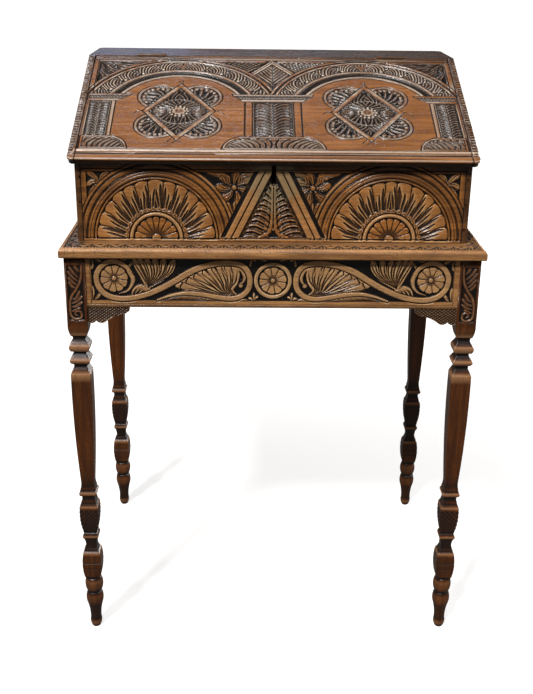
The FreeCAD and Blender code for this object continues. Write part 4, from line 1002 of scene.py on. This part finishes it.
def carveLunette(panel, side, spec, drift):
    ground, count = spec["ground"], spec["petals"]
    middle = (side * spec["lunette"][0], spec["lunette"][1])
    ring, angle = polar(panel, middle)
    keep = (ring < spec["lunetteRadius"] + 1) & (panel.v > 721) & (abs(panel.u) < 301)
    before = panel.h.copy()
    levelTo(panel, spec["lunetteRadius"] - ring, -0.2, 1.0)
    for inner, outer, edge, top in spec["rings"]:
        levelTo(panel, np.minimum(ring - inner + 1.0, outer + 1.0 - ring), ground * 0.8, 0.9)
        raiseRound(panel, np.minimum(outer - ring, ring - inner), edge, ground * 0.8, top)
    cutLine(panel, ring - 105.0, 1.2, 1.0)
    levelTo(panel, spec["petalField"] - ring, ground, 0.8)
    # petals: gold and flat at the ends; flutes bite into each, longest on the side towards the crown
    wide = 180.0 / count
    lean = 6.0 * np.sign(panel.u - middle[0] + 0.01) * (np.clip((92 - ring) / 44, 0, 1)) ** 1.5
    bent = angle + lean + drift * 1.2
    index = np.clip(np.floor(bent / wide), 0, count - 1)
    share = bent / wide - index
    crownward = np.where(index * wide + wide / 2 < 90, share, 1 - share)
    wobble = 1.2 * np.sin(index * 2.4 + side)
    across = abs(2 * share - 1)
    edge = (1 - across) * ring * math.radians(wide) / 2
    inner, outer = spec["petalEnds"]
    body = (ring > inner) & (ring < outer + wobble * 0.4 - 3.8 * across ** 3)
    petal = -0.1 - 2.5 * (1 - roundOver(edge, 2.8)) - 0.4 * across ** 2
    step = np.floor(crownward * spec["flutesPerPetal"])
    start = 70.0 + 8.5 * step + wobble * 2
    within = abs(crownward * spec["flutesPerPetal"] - step - 0.5)
    half = 0.44 * np.sqrt(np.clip((start - ring) / 15, 0, 1)) + 0.001
    flute = np.clip(1 - within / half, 0, 1) ** 0.6 * (0.6 + 0.4 * smoothStep(ring, 48, 60))
    shapeInside(panel, body, petal - flute * 1.9 - 0.45 * smoothStep(-ring, -84, -60), ground - 0.3)
    bitten = body * smoothStep(start - ring, -4, 4)
    # darker in the flutes and lighter on the ends, towards the rubbed colour with its painted highlight; less
    # dirt and painted shade down the flutes
    panel.tone += 0.5 * bitten * (flute > 0.1) - 0.5 * bitten * (flute < 0.1) - 0.10 * body
    panel.grimeAndShade -= 0.9 * bitten * flute
    # scalloped ring, roll and the half flower
    scallop = spec["scallops"] + 3.2 * abs(np.sin(np.radians(angle * 16)))
    raiseRound(panel, np.minimum(scallop - ring, ring - 44.0), 2.4, ground, -0.5)
    cutLine(panel, ring - 46.6 + 0.8 * np.cos(np.radians(angle * 32)), 0.9, 1.2)
    levelTo(panel, 44.4 - ring, ground, 0.8)
    inner, outer = spec["innerRoll"]
    raiseRound(panel, np.minimum(outer - ring, ring - inner), 3.3, ground, 0.5)
    share, edge = petals(ring, angle, spec["smallPetal"])
    inner, outer = spec["smallEnds"]
    flower = -0.1 - 2.4 * (1 - roundOver(edge, 1.8 + 2.4 * smoothStep(-ring, -28, -12)))
    flower = flower - 1.2 * smoothStep(-ring, -22, -12) * (0.5 + 0.5 * np.cos(share * math.pi))
    shapeInside(panel, (ring > inner) & (ring < outer - 3.6 * share ** 3), flower, ground)
    raiseRound(panel, 8.0 - ring, 4.5, ground, 0.2)
    panel.h[:] = np.where(keep, panel.h, before)


def carveCorner(panel, side, spec):
    # corner leaves in three lobes, outside the lunettes
    ground = spec["ground"]
    root = (side * spec["cornerRoot"][0], spec["cornerRoot"][1])
    for (x, z), size in spec["cornerLeaves"]:
        tip = (side * x, z)
        bent = ((root[0] + tip[0]) / 2 + side * 2, (root[1] + tip[1]) / 2 + 3)
        ribbon(panel, [root, bent, tip], size, ground, -0.2)
        gouge(panel, [root, bent, tip], 2.0, 1.6)
    for n in range(3):
        points = [(284 - n * 6, 800 + n * 8), (288 - n * 9, 806 + n * 8), (292 - n * 12, 806 + n * 8)]
        gouge(panel, mirrored(points, side), 1.8, 1.4)
    ribbon(panel, mirrored(spec["cornerBand"], side), 8, ground, -0.2)
    gouge(panel, mirrored(spec["cornerBandCut"], side), 1.6, 1.4)
    workCuts(panel)


def carveFlower(panel, side, spec):
    # flower between the lunette and the inverted V, each petal two or three bent gouge cuts
    ground = spec["ground"]
    x, z = side * spec["flower"][0], spec["flower"][1]
    for angle, reach, size in spec["flowerPetals"]:
        ribbon(panel, sprung((x, z), angle, 4, reach, 14 * side), size, ground, -0.25, "drop")
        for turn in (angle - 15, angle, angle + 14):
            gouge(panel, sprung((x, z), turn, 6, reach - 1, 16 * side), 2.0, 1.6)
    workCuts(panel)
    knob(panel, (x, z), 4.4, ground, 0.1)
    for across, down in spec["flowerFeet"]:
        ribbon(panel, [(x, z - 46), (x + across * 0.4, z - 36), (x + across, z - down)], 6.0, ground, -0.4)
    for across in (-7, -2, 3, 8):
        gouge(panel, [(x, z - 44), (x + across, z - 27)], 1.6, 1.4)
    for place, height in spec["flowerTips"]:
        tip = side * place
        ribbon(panel, [(x + (tip - x) * 0.3, 813), ((x + tip) / 2, 823), (tip, height)], 8.0, ground, -0.3)
        gouge(panel, [(x + (tip - x) * 0.4, 814), ((x + tip) / 2, 822), (tip, height - 2)], 1.6, 1.4)
    workCuts(panel)


def carvePalmette(panel, spec, drift):
    # palmette inside the V: plumes climb beside the stem and turn over against the bands
    ground = spec["ground"]
    v, side = panel.v, abs(panel.u)
    reach = np.clip(53.5 - (v - 724) * spec["bandTilt"], 4, 60)
    share = np.clip(side / reach, 0, 1)
    climb = (34 * np.sqrt(share) - 46 * np.clip(share - 0.50, 0, 1) ** 2) * (0.35 + 0.65 * reach / 53)
    palm = least(reach - side, v - 725.0, 826.0 - v)
    levelTo(panel, palm, -0.3, 1.0)
    phase = (v - climb + drift * 1.5) / 10.4
    flutes(panel, palm, phase, 2.3, leafy=True)
    flutes(panel, np.minimum(palm, (share - 0.30) * 30), phase * 2 + 0.30, 1.3)
    flutes(panel, np.minimum(palm, (share - 0.62) * 30), phase + 0.55, 1.2)
    for sx in (-1, 1):
        ribbon(panel, mirrored(spec["palmStem"], sx), 5.6, ground, 0.1, "even")
        gouge(panel, mirrored(spec["palmCut"], sx), 2.2, 2.0)
    workCuts(panel)
    levelTo(panel, np.minimum((738 - v) * 0.8 - side, v - 725.0), ground, 1.0)
    cutLine(panel, side, 0.8, 1.8, (v < 815) & (v > 738))


def carveFront(panel, spec):
    ground, v, side = spec["ground"], panel.v, abs(panel.u)
    drift = wander(panel, *spec["drift"])
    levelTo(panel, least(294.5 - side, 830.6 - v, v - 724.0), ground, 1.4)
    for sx in (-1, 1):
        carveCorner(panel, sx, spec)
        carveFlower(panel, sx, spec)
    carvePalmette(panel, spec, drift)
    for sx in (-1, 1):
        carveLunette(panel, sx, spec, drift)
    # the two bands of the V
    keep = (v > 724.5) & (v < 832)
    tilt = spec["bandTilt"]
    across = (side - (spec["bandStart"] - (v - 724) * tilt)) / math.hypot(1, tilt)
    shield = np.minimum(np.where(keep, np.minimum(16.5 - abs(across - 5.5), 20), -9), 126 - side)
    levelTo(panel, shield, ground * 0.9, 1.0)
    for middle, half, top in spec["bands"]:
        raiseRound(panel, np.where(keep, half - abs(across - middle), -9), 1.6, ground * 0.9, top)
    cutLine(panel, across - 2.6, 0.6, 0.5, keep)
    # the V's bands lighter, towards the rubbed colour with its painted highlight
    panel.tone -= 0.6 * (shield > 0)
    # frame round the board
    cutLine(panel, side - 302.2, 1.0, 1.6)
    cutLine(panel, v - 834.0, 1.0, 1.5, side < 302)
    cutLine(panel, v - 723.2, 1.1, 1.8, side < 302)
    panel.h -= 0.3 * ((side < 301) & (v > 835))
    panel.h -= 1.2 * (1 - roundOver(311.2 - side, 2.0)) + 0.8 * (1 - roundOver(v - 717.8, 1.2))
    ring = np.hypot(side - spec["lunette"][0], v - spec["lunette"][1])
    # darker towards the board's ends, and along its top under the lid's nose as painted shade
    panel.tone += 0.55 * smoothStep(side, 296, 300) + 0.8 * smoothStep(v, 828, 836)
    panel.tone += 0.45 * (ring > 95) * (ring < 127) * (side > 126) + 0.3 * (ring > 95) * (side < 126)


def makeFront(spec):
    panel = newPanel(spec["low"], spec["high"], spec["spacing"])
    keyWidth, keyLow = spec["keyhole"]
    for edge in (-keyWidth, keyWidth):
        panel.us[np.argmin(abs(panel.us - edge))] = edge
    panel.vs[np.argmin(abs(panel.vs - keyLow))] = keyLow
    carveFront(panel, spec)
    rise = math.tan(math.radians(spec["slope"]))
    shoulder, back = spec["rebate"]
    top, inner = spec["high"][1], spec["face"] + spec["thick"]

    def toRebate(x, y, z):
        return (x, back, z if z < top - 0.01 else top + (back - spec["face"]) * rise)

    def toShoulder(x, y, z):
        return (max(-shoulder, min(shoulder, x)), y, z)

    def toInside(x, y, z):
        return (x, inner, top + spec["thick"] * rise if z > top + 1 else z)

    def isKeyhole(middle):
        return abs(middle.x) < keyWidth and middle.z > keyLow

    return makeBoard("carved_front", panel, lambda p: (p.u, spec["face"] - p.h, p.v),
                     [toRebate, toShoulder, toInside], frontOak, "box", "box_front",
                     openings=isKeyhole)


makeFront(frontSpec)
print("box front carved")


# The front rail: three rosettes, and between them an S scroll under a spray of acanthus. Shapes are for
# the left half, u from the middle; the right half mirrors them.
railSpec = {
    "low": (-297.0, 624.0), "high": (297.0, 702.0), "face": -235.0, "thick": 18.0, "ground": -2.6,
    "spacing": 0.62, "outerRosette": (-252, 666), "middleRosette": (0, 664), "rosettePetal": 36,
    "middleRing": (23.8, 30.4, 31.8),
    # leaves above the scroll: root, then each tip and the bend on the way
    "sprayRoot": (-199, 650),
    "spray": (((-219, 697), (-207, 672)), ((-211, 699), (-202, 674)), ((-200, 699), (-195, 675)),
              ((-187, 699), (-187, 674)), ((-172, 698), (-178, 674)), ((-157, 696), (-168, 674))),
    # acanthus under the scroll: tips, the curl over its eye, and the small leaves at the foot
    "acanthus": ((-150, 656), (-141, 665), (-129, 673), (-116, 680), (-101, 686), (-86, 689), (-71, 689),
                 (-58, 688)),
    "curl": ((-62, 684), (-51, 683), (-45, 672), (-47, 662), (-54, 656)),
    "curlCut": ((-55, 679), (-51, 675), (-50, 668), (-54, 664)), "eye": (-51, 655),
    "footLeaves": ((-30, 642), (-24, 637), (-38, 634)),
    "wave": ((-62, 630), (-90, 632), (-118, 634), (-145, 635), (-176, 630)),
    # leaves in the gaps near the outer rosette and near the middle: foot and tip
    "outerLeaves": (((-287, 632), (-287, 652)), ((-284, 630), (-276, 640)), ((-286, 699), (-287, 682)),
                    ((-283, 699), (-272, 694)), ((-220, 698), (-228, 686)), ((-232, 698), (-240, 698))),
    "innerLeaves": (((-40, 631), (-56, 630)), ((-36, 699), (-28, 697)), ((-34, 698), (-36, 688)),
                    ((-22, 699), (-12, 697))),
    # the scroll, its half width along its length, and the collar by the outer rosette
    "scroll": ((-226, 676), (-234, 687), (-251, 694.5), (-268, 689), (-279.5, 672), (-277, 652), (-264, 638),
               (-244, 632.5), (-220, 634.5), (-198, 641), (-178, 650), (-158, 661), (-139, 673), (-120, 683),
               (-98, 690), (-72, 693), (-50, 689), (-39.5, 677), (-36.5, 662), (-40, 648), (-51, 637.5),
               (-68, 633.5), (-90, 636), (-114, 640.5), (-140, 642), (-163, 638), (-184, 630.5)),
    "scrollSizes": ((0, 0.06, 0.2, 0.3, 0.5, 0.62, 0.78, 0.9, 1),
                    (3.4, 4.4, 4.9, 4.9, 5.4, 4.8, 4.6, 4.2, 1.8)),
    "collar": ((-228, 678), (-222.5, 666), (-225, 654), (-233, 645), (-245, 641)),
}


def carveRosette(panel, middle, spec):
    ground = spec["ground"]
    ring, angle = polar(panel, middle)
    levelTo(panel, 24.0 - ring, ground, 1.0)
    share, edge = petals(ring, angle + 8, spec["rosettePetal"])
    petal = -0.2 - 2.2 * (1 - roundOver(edge, 2.0)) - 1.4 * smoothStep(-ring, -13, -5) * (1 - share)
    shapeInside(panel, (ring > 3.5) & (ring < 21.8 - 2.0 * share ** 3), petal, ground)
    raiseRound(panel, 4.2 - ring, 3.0, ground, -0.1)


def carveRailSide(panel, side, spec):
    ground = spec["ground"]

    def leaf(points, width, top, *more, **settings):
        ribbon(panel, mirrored(points, -side), width, ground, top, *more, **settings)

    def cut(points, width, depth, *more):
        gouge(panel, mirrored(points, -side), width, depth, *more)

    for tip, bent in spec["spray"]:
        leaf([spec["sprayRoot"], bent, tip], 12.5, -0.1, edge=3.0)
        for shift in (-2.2, 2.0):
            cut([(-198, 652), (bent[0] + 1 + shift, bent[1]), (tip[0] + shift * 1.6, tip[1])], 3.5, 2.4)
        cut([(-198, 652), (bent[0] + 6, bent[1] - 1), (tip[0] + 7, tip[1])], 3.4, 2.6, "tail")
    for n in range(4):
        leaf([(-225 + n * 6, 640 + n * 0.8), (-219 + n * 5.5, 650 - n), (-208 + n * 4, 655 - n * 2)],
             6.0, -0.3)
        cut([(-223 + n * 6, 638), (-216 + n * 5.5, 647 - n), (-205 + n * 3, 652 - n * 2)], 1.4, 1.0)
    workCuts(panel)
    # acanthus, springing from the scroll's eye
    for n, (x, z) in enumerate(spec["acanthus"]):
        bend = ((x - 58) / 2 - 9 + n * 0.9, 640 + (z - 640) * 0.36 + n * 0.8)
        leaf([(-54, 637), (-66 - (7 - n) * 3.2, 641 + n), bend, (x, z)], 14.5, 0.0, "drop", edge=3.4)
        for shift, deep in ((-3.4, 2.3), (1.6, 2.5)):
            cut([(-58, 639), (-68 - (7 - n) * 3.0 + shift * 0.4, 642 + n + shift * 0.3),
                 (bend[0] + shift, bend[1] + shift * 0.5), (x + shift * 1.2, z - 3.5)], 3.7, deep)
        cut([(x + 6, z + 3), (x + 5.5, z - 7), (bend[0] + 9, bend[1])], 3.4, 2.6, "tail")
    workCuts(panel)
    leaf(spec["curl"], 10.0, 0.0, "tail")
    cut(spec["curlCut"], 2.6, 1.6)
    knob(panel, (-side * spec["eye"][0], spec["eye"][1]), 4.0, ground, -0.4)
    for x, z in spec["footLeaves"]:
        leaf([(-31, 630), ((x - 31) / 2, (z + 630) / 2 + 1), (x, z)], 4.6, -0.5)
    leaf(spec["wave"], 9.0, -0.8, "both")
    for n in range(10):
        cut([(-72 - n * 10, 635), (-80 - n * 10, 631.5)], 1.8, 1.2)
    for foot, tip in spec["outerLeaves"]:
        leaf([foot, ((foot[0] + tip[0]) / 2 + 1, (foot[1] + tip[1]) / 2), tip], 6.0, -0.5)
        cut([foot, tip], 1.6, 1.2)
    for foot, tip in spec["innerLeaves"]:
        leaf([foot, ((foot[0] + tip[0]) / 2, (foot[1] + tip[1]) / 2 + 1), tip], 5.0, -0.6)
    workCuts(panel)
    stem(panel, mirrored(spec["scroll"], -side), 9, spec["scrollSizes"], (1.5, 1.4), ground, -0.05, 2.2)
    leaf(spec["collar"], 8.4, -0.05, "tail")
    carveRosette(panel, (-side * spec["outerRosette"][0], spec["outerRosette"][1]), spec)


def carveRail(panel, spec):
    ground, side = spec["ground"], abs(panel.u)
    levelTo(panel, least(288.5 - side, panel.v - 629.0, 700.5 - panel.v), ground)
    for sx in (-1, 1):
        carveRailSide(panel, sx, spec)
    ring, _ = polar(panel, spec["middleRosette"])
    inner, outer, clear = spec["middleRing"]
    levelTo(panel, clear - ring, ground, 0.8)
    raiseRound(panel, np.minimum(outer - ring, ring - inner), 2.2, ground, -0.05)
    carveRosette(panel, spec["middleRosette"], spec)
    cutLine(panel, side - 289.2, 0.8, 1.2)
    panel.h -= 1.0 * (1 - roundOver(panel.v - 623.8, 1.4))
    inside = (side < 288) & (panel.v > 629)
    # dirt and painted shade on the deep ground, and raised wood lighter towards the rubbed colour with its
    # painted highlight
    panel.grimeAndShade += 0.4 * inside * smoothStep(-panel.h, 1.5, 2.4)
    panel.tone -= 0.35 * inside * smoothStep(panel.h, -1.2, -0.5)


def makeRail(spec):
    panel = newPanel(spec["low"], spec["high"], spec["spacing"])
    carveRail(panel, spec)
    back = spec["face"] + spec["thick"]
    return makeBoard("carved_front_rail", panel, lambda p: (p.u, spec["face"] - p.h, p.v),
                     [lambda x, y, z: (x, back, z)], standOak, "stand", "apron_front")


makeRail(railSpec)
print("front rail carved")


# The stand's top: a rounded nose all round, a cut line, and a row of small scallops before the box.
platformSpec = {
    "half": (336.0, 247.5), "top": 718.0, "thick": 16.0, "nose": 6.0, "under": 3.0, "line": 8.4,
    "scallops": (11.0, 30.0), "pitch": 26.0, "spacing": 1.15, "dents": 60, "dirtAndShade": 1.3,
    "noseSteps": (0, 15, 30, 45, 60, 75, 90),
}


def bunch(places, spec):
    # moves a sheet's rows or columns so that they lie closer together round the nose, at both ends
    turns = spec["nose"] * (1 - np.cos(np.radians(spec["noseSteps"])))
    count = len(turns)
    places[:count] = places[0] + turns
    places[-count:] = places[-1] - turns[::-1]
    places[count:-count] = np.linspace(places[count - 1], places[-count], len(places) - 2 * count + 2)[1:-1]


def carvePlatform(panel, inset, spec):
    u, v = panel.u, panel.v
    halfX, halfY = spec["half"]
    near, far = spec["scallops"]
    run = np.where(halfX - abs(u) < halfY - abs(v), v, u)
    share = (run / spec["pitch"]) % 1 - 0.5
    curve = near + 3.0 + 42.0 * np.abs(share) ** 1.6
    keep = (inset > near) & (inset < far + 3) & ((v < 200) | (inset < 20))
    cut = keep * 2.4 * np.clip(1 - abs(inset - curve) / 3.4, 0, 1)
    cut = cut + keep * 1.4 * np.clip(1 - np.hypot(share * spec["pitch"], inset - far + 2) / 4.0, 0, 1)
    cut = cut + (inset > near - 1) * (inset < curve - 1) * 0.9 * (0.5 + 0.5 * np.cos(run / 5.2 * 2 * math.pi))
    panel.h -= cut
    # dirt and painted shade in the scallop cuts
    panel.grimeAndShade += 0.9 * np.clip(cut, 0, 1)
    cutLine(panel, inset - spec["line"], 1.3, 1.3)
    cutLine(panel, inset - near + 0.6, 0.7, 0.6)
    panel.tone += 0.25 + 0.35 * smoothStep(inset, 8, 14) - 0.10 * smoothStep(-inset, -8, -5)
    # painted shade on the strip of the top that shows left of the box
    panel.tone += 0.5 * ((u < -300) & (v > -236) & (inset > 6))
    for _ in range(spec["dents"]):
        # dents along the nose
        turn = hand.uniform(-1, 1)
        if hand.uniform() < 0.6:
            place = (halfX * turn, -halfY + hand.uniform(0, 2))
        else:
            place = (halfX * np.sign(turn), halfY * hand.uniform(-1, 1))
        gouge(panel, [place, (place[0] + hand.uniform(-4, 4), place[1] + hand.uniform(0, 2))],
              hand.uniform(1.5, 3), hand.uniform(0.2, 0.7))
    workCuts(panel)


def makePlatform(spec):
    halfX, halfY = spec["half"]
    panel = newPanel((-halfX, -halfY), (halfX, halfY), spec["spacing"])
    bunch(panel.us, spec)
    bunch(panel.vs, spec)
    inset = np.minimum(halfX - abs(panel.u), halfY - abs(panel.v))
    carvePlatform(panel, inset, spec)
    drop = spec["nose"] * (1 - roundOver(inset, spec["nose"]))
    bottom, under = spec["top"] - spec["thick"], spec["under"]

    def lower(share):
        # down the edge and round the lower arris
        turn = share * math.pi / 2
        back = under * (1 - math.cos(turn))

        def ring(x, y, z):
            x = math.copysign(halfX - back, x) if abs(x) > halfX - under - 0.1 else x
            y = math.copysign(halfY - back, y) if abs(y) > halfY - under - 0.1 else y
            return (x, y, bottom + under * (1 - math.sin(turn)))
        return ring

    return makeBoard("stand_top_board", panel, lambda p: (p.u, p.v, spec["top"] + p.h - drop),
                     [lower(share) for share in (0.0, 0.33, 0.67, 1.0)], standTopOak, "stand",
                     "stand_top", triangles=150000, dirtAndShade=spec["dirtAndShade"])


makePlatform(platformSpec)
print("stand top made")


# Legs: square in section and shaped like turning, with a turned ball and foot. Each is one sheet wrapped
# round the leg, u running one face's width to a face: left, front, right, back.
legSpec = {
    "face": 33.0, "height": 702.0, "middle": (313.5, 221.0), "ballTop": 105.0, "spacing": 0.95,
    "diaper": (199.5, 246.5), "lozenges": 4, "lines": (139.0, 128.0), "scratches": 26,
    # how much the arrises are eased, and from how far
    "arris": (0.308, 2.2),
    # the sunk panel: half width, foot and top, depth; leaf strokes and S stem, across from the middle and up
    "panel": (12.6, 596.0, 688.5), "ground": -1.8,
    "strokes": (((5, 668), (-3, 676), (-9, 686)), ((4, 662), (-4, 668), (-11, 678)),
                ((2, 655), (-4, 660), (-11, 668)), ((0, 650), (-5, 653), (-10, 660)),
                ((8, 676), (3, 682), (0, 687)), ((-7, 630), (0, 634), (6, 644)),
                ((-8, 624), (1, 627), (9, 636)), ((-8, 618), (0, 620), (9, 626)),
                ((-8, 611), (-2, 613), (5, 617))),
    "stem": ((11, 690), (10.5, 676), (8, 662), (1, 648), (-7, 636), (-10.5, 622), (-10, 606), (-5, 599),
             (3, 598.5), (7.5, 603), (6, 610), (0, 611.5), (-3, 607), (0.5, 604)),
    "stemSizes": ((0, 0.5, 0.8, 1), (2.3, 2.3, 1.7, 1.2)),
}
# height and half width as shares; two more numbers mean a curve through the first place to the second
legProfileShares = (
    (1.0, 1.0), (0.8405, 1.0), (0.8245, 0.97, 0.8105, 0.82), (0.8063, 0.64), (0.8006, 0.62), (0.7956, 0.72),
    (0.7934, 0.78), (0.7849, 0.99), (0.7785, 1.0, 0.7714, 0.88), (0.7692, 0.64), (0.7650, 0.62),
    (0.7607, 0.73), (0.7500, 1.0), (0.7450, 0.99, 0.7400, 0.84), (0.7379, 0.66), (0.7308, 0.65),
    (0.7265, 0.76), (0.7144, 0.99), (0.5769, 0.95, 0.4274, 0.67), (0.4217, 0.67), (0.4131, 0.71),
    (0.4088, 0.76), (0.4031, 0.77), (0.3981, 0.90), (0.3939, 0.91, 0.3896, 0.82), (0.3868, 0.66),
    (0.3789, 0.66), (0.3732, 0.74), (0.3675, 0.77), (0.3590, 0.95), (0.3348, 0.99, 0.2835, 0.69),
    (0.2806, 0.72), (0.2742, 0.83), (0.2707, 0.82), (0.2664, 0.70), (0.2540, 0.58, 0.2393, 0.60),
    (0.2350, 0.69), (0.2308, 0.72), (0.2265, 0.88), (0.1900, 1.0, 0.1581, 0.85), (0.1490, 0.70),
    (0.1482, 0.80), (0.1275, 0.97, 0.1070, 0.74), (0.1050, 0.80), (0.0905, 0.93, 0.0700, 0.80),
    (0.0480, 0.63, 0.0250, 0.59), (0.0090, 0.58, 0.0, 0.42),
)


def profilePoints(profile, height, half):
    points = [profile[0]]
    for step in profile[1:]:
        if len(step) == 2:
            points.append(step)
            continue
        start, via, end = points[-1], step[:2], step[2:]
        for z in np.linspace(start[0], end[0], 14)[1:]:
            # the parabola through the three points
            a = (z - via[0]) * (z - end[0]) / ((start[0] - via[0]) * (start[0] - end[0]))
            b = (z - start[0]) * (z - end[0]) / ((via[0] - start[0]) * (via[0] - end[0]))
            c = (z - start[0]) * (z - via[0]) / ((end[0] - start[0]) * (end[0] - via[0]))
            points.append((z, a * start[1] + b * via[1] + c * end[1]))
    points = np.array(points)[::-1]
    return points[:, 0] * height, points[:, 1] * half


def carveLegPanel(panel, middle, way, spec):
    # an S stem with leaf strokes in its bends; way is +1 where the stem starts top right
    ground = spec["ground"]
    half, foot, top = spec["panel"]
    field = least(half - abs(panel.u - middle), panel.v - foot, top - panel.v)
    levelTo(panel, field, ground, 1.0)
    # lighter in the sunk panel, towards the rubbed colour with its painted highlight
    panel.tone -= 0.6 * (field > 0)

    def at(points):
        return [(middle + x, z) for x, z in mirrored(points, way)]

    for points in spec["strokes"]:
        ribbon(panel, at(points), 5.2, ground, -0.4)
        gouge(panel, at(points), 1.5, 0.9)
    workCuts(panel)
    stem(panel, at(spec["stem"]), 4, spec["stemSizes"], (1.0, 1.0), ground, -0.1, 1.8)


def carveLeg(panel, spec, sideX, isFront):
    u, v, face = panel.u, panel.v, spec["face"]
    low, high = spec["diaper"]
    field = np.minimum(v - low, high - v)
    hatch = np.zeros_like(panel.h)
    pitch = face / 1.414 / spec["lozenges"]      # square to the slanting lines
    for way in (-1, 1):
        away = (v - way * u) / 1.414
        away = abs(away / pitch - np.round(away / pitch)) * pitch
        hatch = np.maximum(hatch, 1.1 * np.clip(1 - away / 1.5, 0, 1))
    panel.h -= hatch * np.clip(field, 0, 1)
    for level in (low - 1, high + 1):
        cutLine(panel, v - level, 0.8, 0.8)
    for level in spec["lines"]:
        cutLine(panel, v - level, 1.0, 1.0)
    if isFront:
        carveLegPanel(panel, 0.0, -sideX, spec)
        carveLegPanel(panel, face * sideX, sideX, spec)
    for _ in range(spec["scratches"]):
        x, z = hand.uniform(-48, 80), hand.uniform(130, 590)
        gouge(panel, [(x, z), (x + hand.uniform(-2, 2), z + hand.uniform(-7, 7))],
              hand.uniform(1.0, 2.2), hand.uniform(0.15, 0.5))
    workCuts(panel)
    panel.tone += 0.12 + 0.2 * smoothStep(v, 500, 515) + 0.4 * smoothStep(-v, -303, -290)
    panel.tone += 0.3 * (field > 0)
    # dirt and painted shade in the diaper's cuts
    panel.grimeAndShade += 0.3 * (field > 0) * (hatch > 0.3)


def makeLeg(name, sideX, sideY, spec):
    face = spec["face"]
    panel = newPanel((-1.5 * face, 0.0), (2.5 * face, spec["height"]), spec["spacing"], sides=4)
    carveLeg(panel, spec, sideX, sideY < 0)
    half = np.interp(panel.v, *profilePoints(legProfileShares, spec["height"], face / 2))
    # dirt and painted shade in the waists, and collars and rings rubbed bright with a painted highlight
    slim = averaged(half, round(5 / spec["spacing"])) - half
    panel.grimeAndShade += np.clip(0.55 * slim, 0, 0.9)
    panel.tone += np.clip(2.2 * slim, -1.1, 0.6)
    index = np.round(panel.u / face)
    t = (panel.u - index * face) / (face / 2)
    turned = smoothStep(-panel.v, -spec["ballTop"], -spec["ballTop"] + 1.2)
    # square section with its arrises eased; round below the last square
    ease, reach = spec["arris"]
    square = half - ease * (np.clip(abs(t) * half - (half - reach), 0, reach) / reach) ** 3
    angle = t * math.pi / 4
    out = square * (1 - turned) + half * np.cos(angle) * turned
    along = t * square * (1 - turned) + half * np.sin(angle) * turned
    atArris = abs(t) > 0.999
    leanOut = np.where(atArris, 0.7, 1.0) * (1 - turned) + np.cos(angle) * turned
    leanAlong = np.where(atArris, 0.7 * np.sign(t), 0.0) * (1 - turned) + np.sin(angle) * turned
    out, along = out + panel.h * leanOut, along + panel.h * leanAlong
    turn = index * math.pi / 2
    x = out * np.sin(turn) + along * np.cos(turn)
    y = -out * np.cos(turn) + along * np.sin(turn)
    middleX, middleY = sideX * spec["middle"][0], sideY * spec["middle"][1]
    return makeTube(name, panel, (middleX + x, middleY + y, panel.v))


def makeTube(name, panel, places):
    # closes a sheet that has been wrapped right round, at its seam and its two ends
    bm = placeSheet(panel, places, 1.0)
    seam = [vert for vert in bm.verts if vert.is_boundary]
    bmesh.ops.remove_doubles(bm, verts=seam, dist=0.12 * mm)
    ends = [edge for edge in bm.edges if edge.is_boundary]
    for level in (0.0, panel.vs[-1]):
        bmesh.ops.edgeloop_fill(bm, edges=[edge for edge in ends if abs(edge.verts[0].co.z / mm - level) < 1])
    return finishPiece(bm, panel.mesh, "carved_" + name, legOak, "stand", name, 60000)


for name, sideX, sideY in (("leg_front_left", -1, -1), ("leg_front_right", 1, -1),
                           ("leg_back_left", -1, 1), ("leg_back_right", 1, 1)):
    makeLeg(name, sideX, sideY, legSpec)
print("legs made")


# Brackets beside the front legs, cut all over with a lozenge diaper.
bracketSpec = {"pitch": (6.6, 4.6), "cut": 2.8, "depth": 1.8, "face": -235.0, "wearAndLight": 0.5, "near": 1e-5}


def makeBracket(node, spec):
    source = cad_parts[node]
    bm = bmesh.new()
    bm.from_mesh(source.data)
    bmesh.ops.transform(bm, matrix=source.matrix_world, verts=bm.verts)
    bmesh.ops.remove_doubles(bm, verts=bm.verts, dist=0.01 * mm)
    bmesh.ops.dissolve_limit(bm, angle_limit=math.radians(0.5), verts=bm.verts, edges=bm.edges)
    low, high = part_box(node)
    middle = (low + high) / 2
    wide, tall = spec["pitch"]
    lean = math.hypot(wide, tall)
    step = wide * tall / lean * mm
    face, depth, near = spec["face"] * mm, spec["depth"] * mm, spec["near"]
    count = int((high - low).length / 2 / step)
    lines = [(Vector((tall / lean, 0, way * wide / lean)), n * step) for way in (1, -1)
             for n in range(-count, count + 1)]
    for normal, offset in lines:
        for edge in (-spec["cut"] / 2 * mm, 0, spec["cut"] / 2 * mm):
            front = [f for f in bm.faces if all(abs(vert.co.y - face) < near for vert in f.verts)]
            geometry = front + inOrder(e for f in front for e in f.edges)
            geometry += inOrder(vert for f in front for vert in f.verts)
            bmesh.ops.bisect_plane(bm, geom=geometry, plane_co=middle + normal * (offset + edge),
                                   plane_no=normal)
    for vert in bm.verts:
        if abs(vert.co.y - face) > near or any(abs(e.calc_face_angle(0)) > 0.5 for e in vert.link_edges):
            continue
        if any(abs((vert.co - middle).dot(normal) - offset) < near for normal, offset in lines):
            vert.co.y += depth
    mesh = bpy.data.meshes.new(node)
    recess, tone, worked = (bm.verts.layers.float.new(label) for label in wearAndLightNames)
    # the cut lines black with dirt and painted shade; all else a little darker, greyed by wax and a painted
    # sheen
    for vert in bm.verts:
        vert[recess] = 1.0 if depth * 0.5 < vert.co.y - face < depth * 1.5 else 0.0
        vert[tone] = vert[worked] = spec["wearAndLight"]
    return finishPiece(bm, mesh, node.replace("bracket", "diaper_bracket"), standOak, "stand",
                       node, 50000)


for node in ("bracket_front_left", "bracket_front_right"):
    makeBracket(node, bracketSpec)
print("brackets cut")
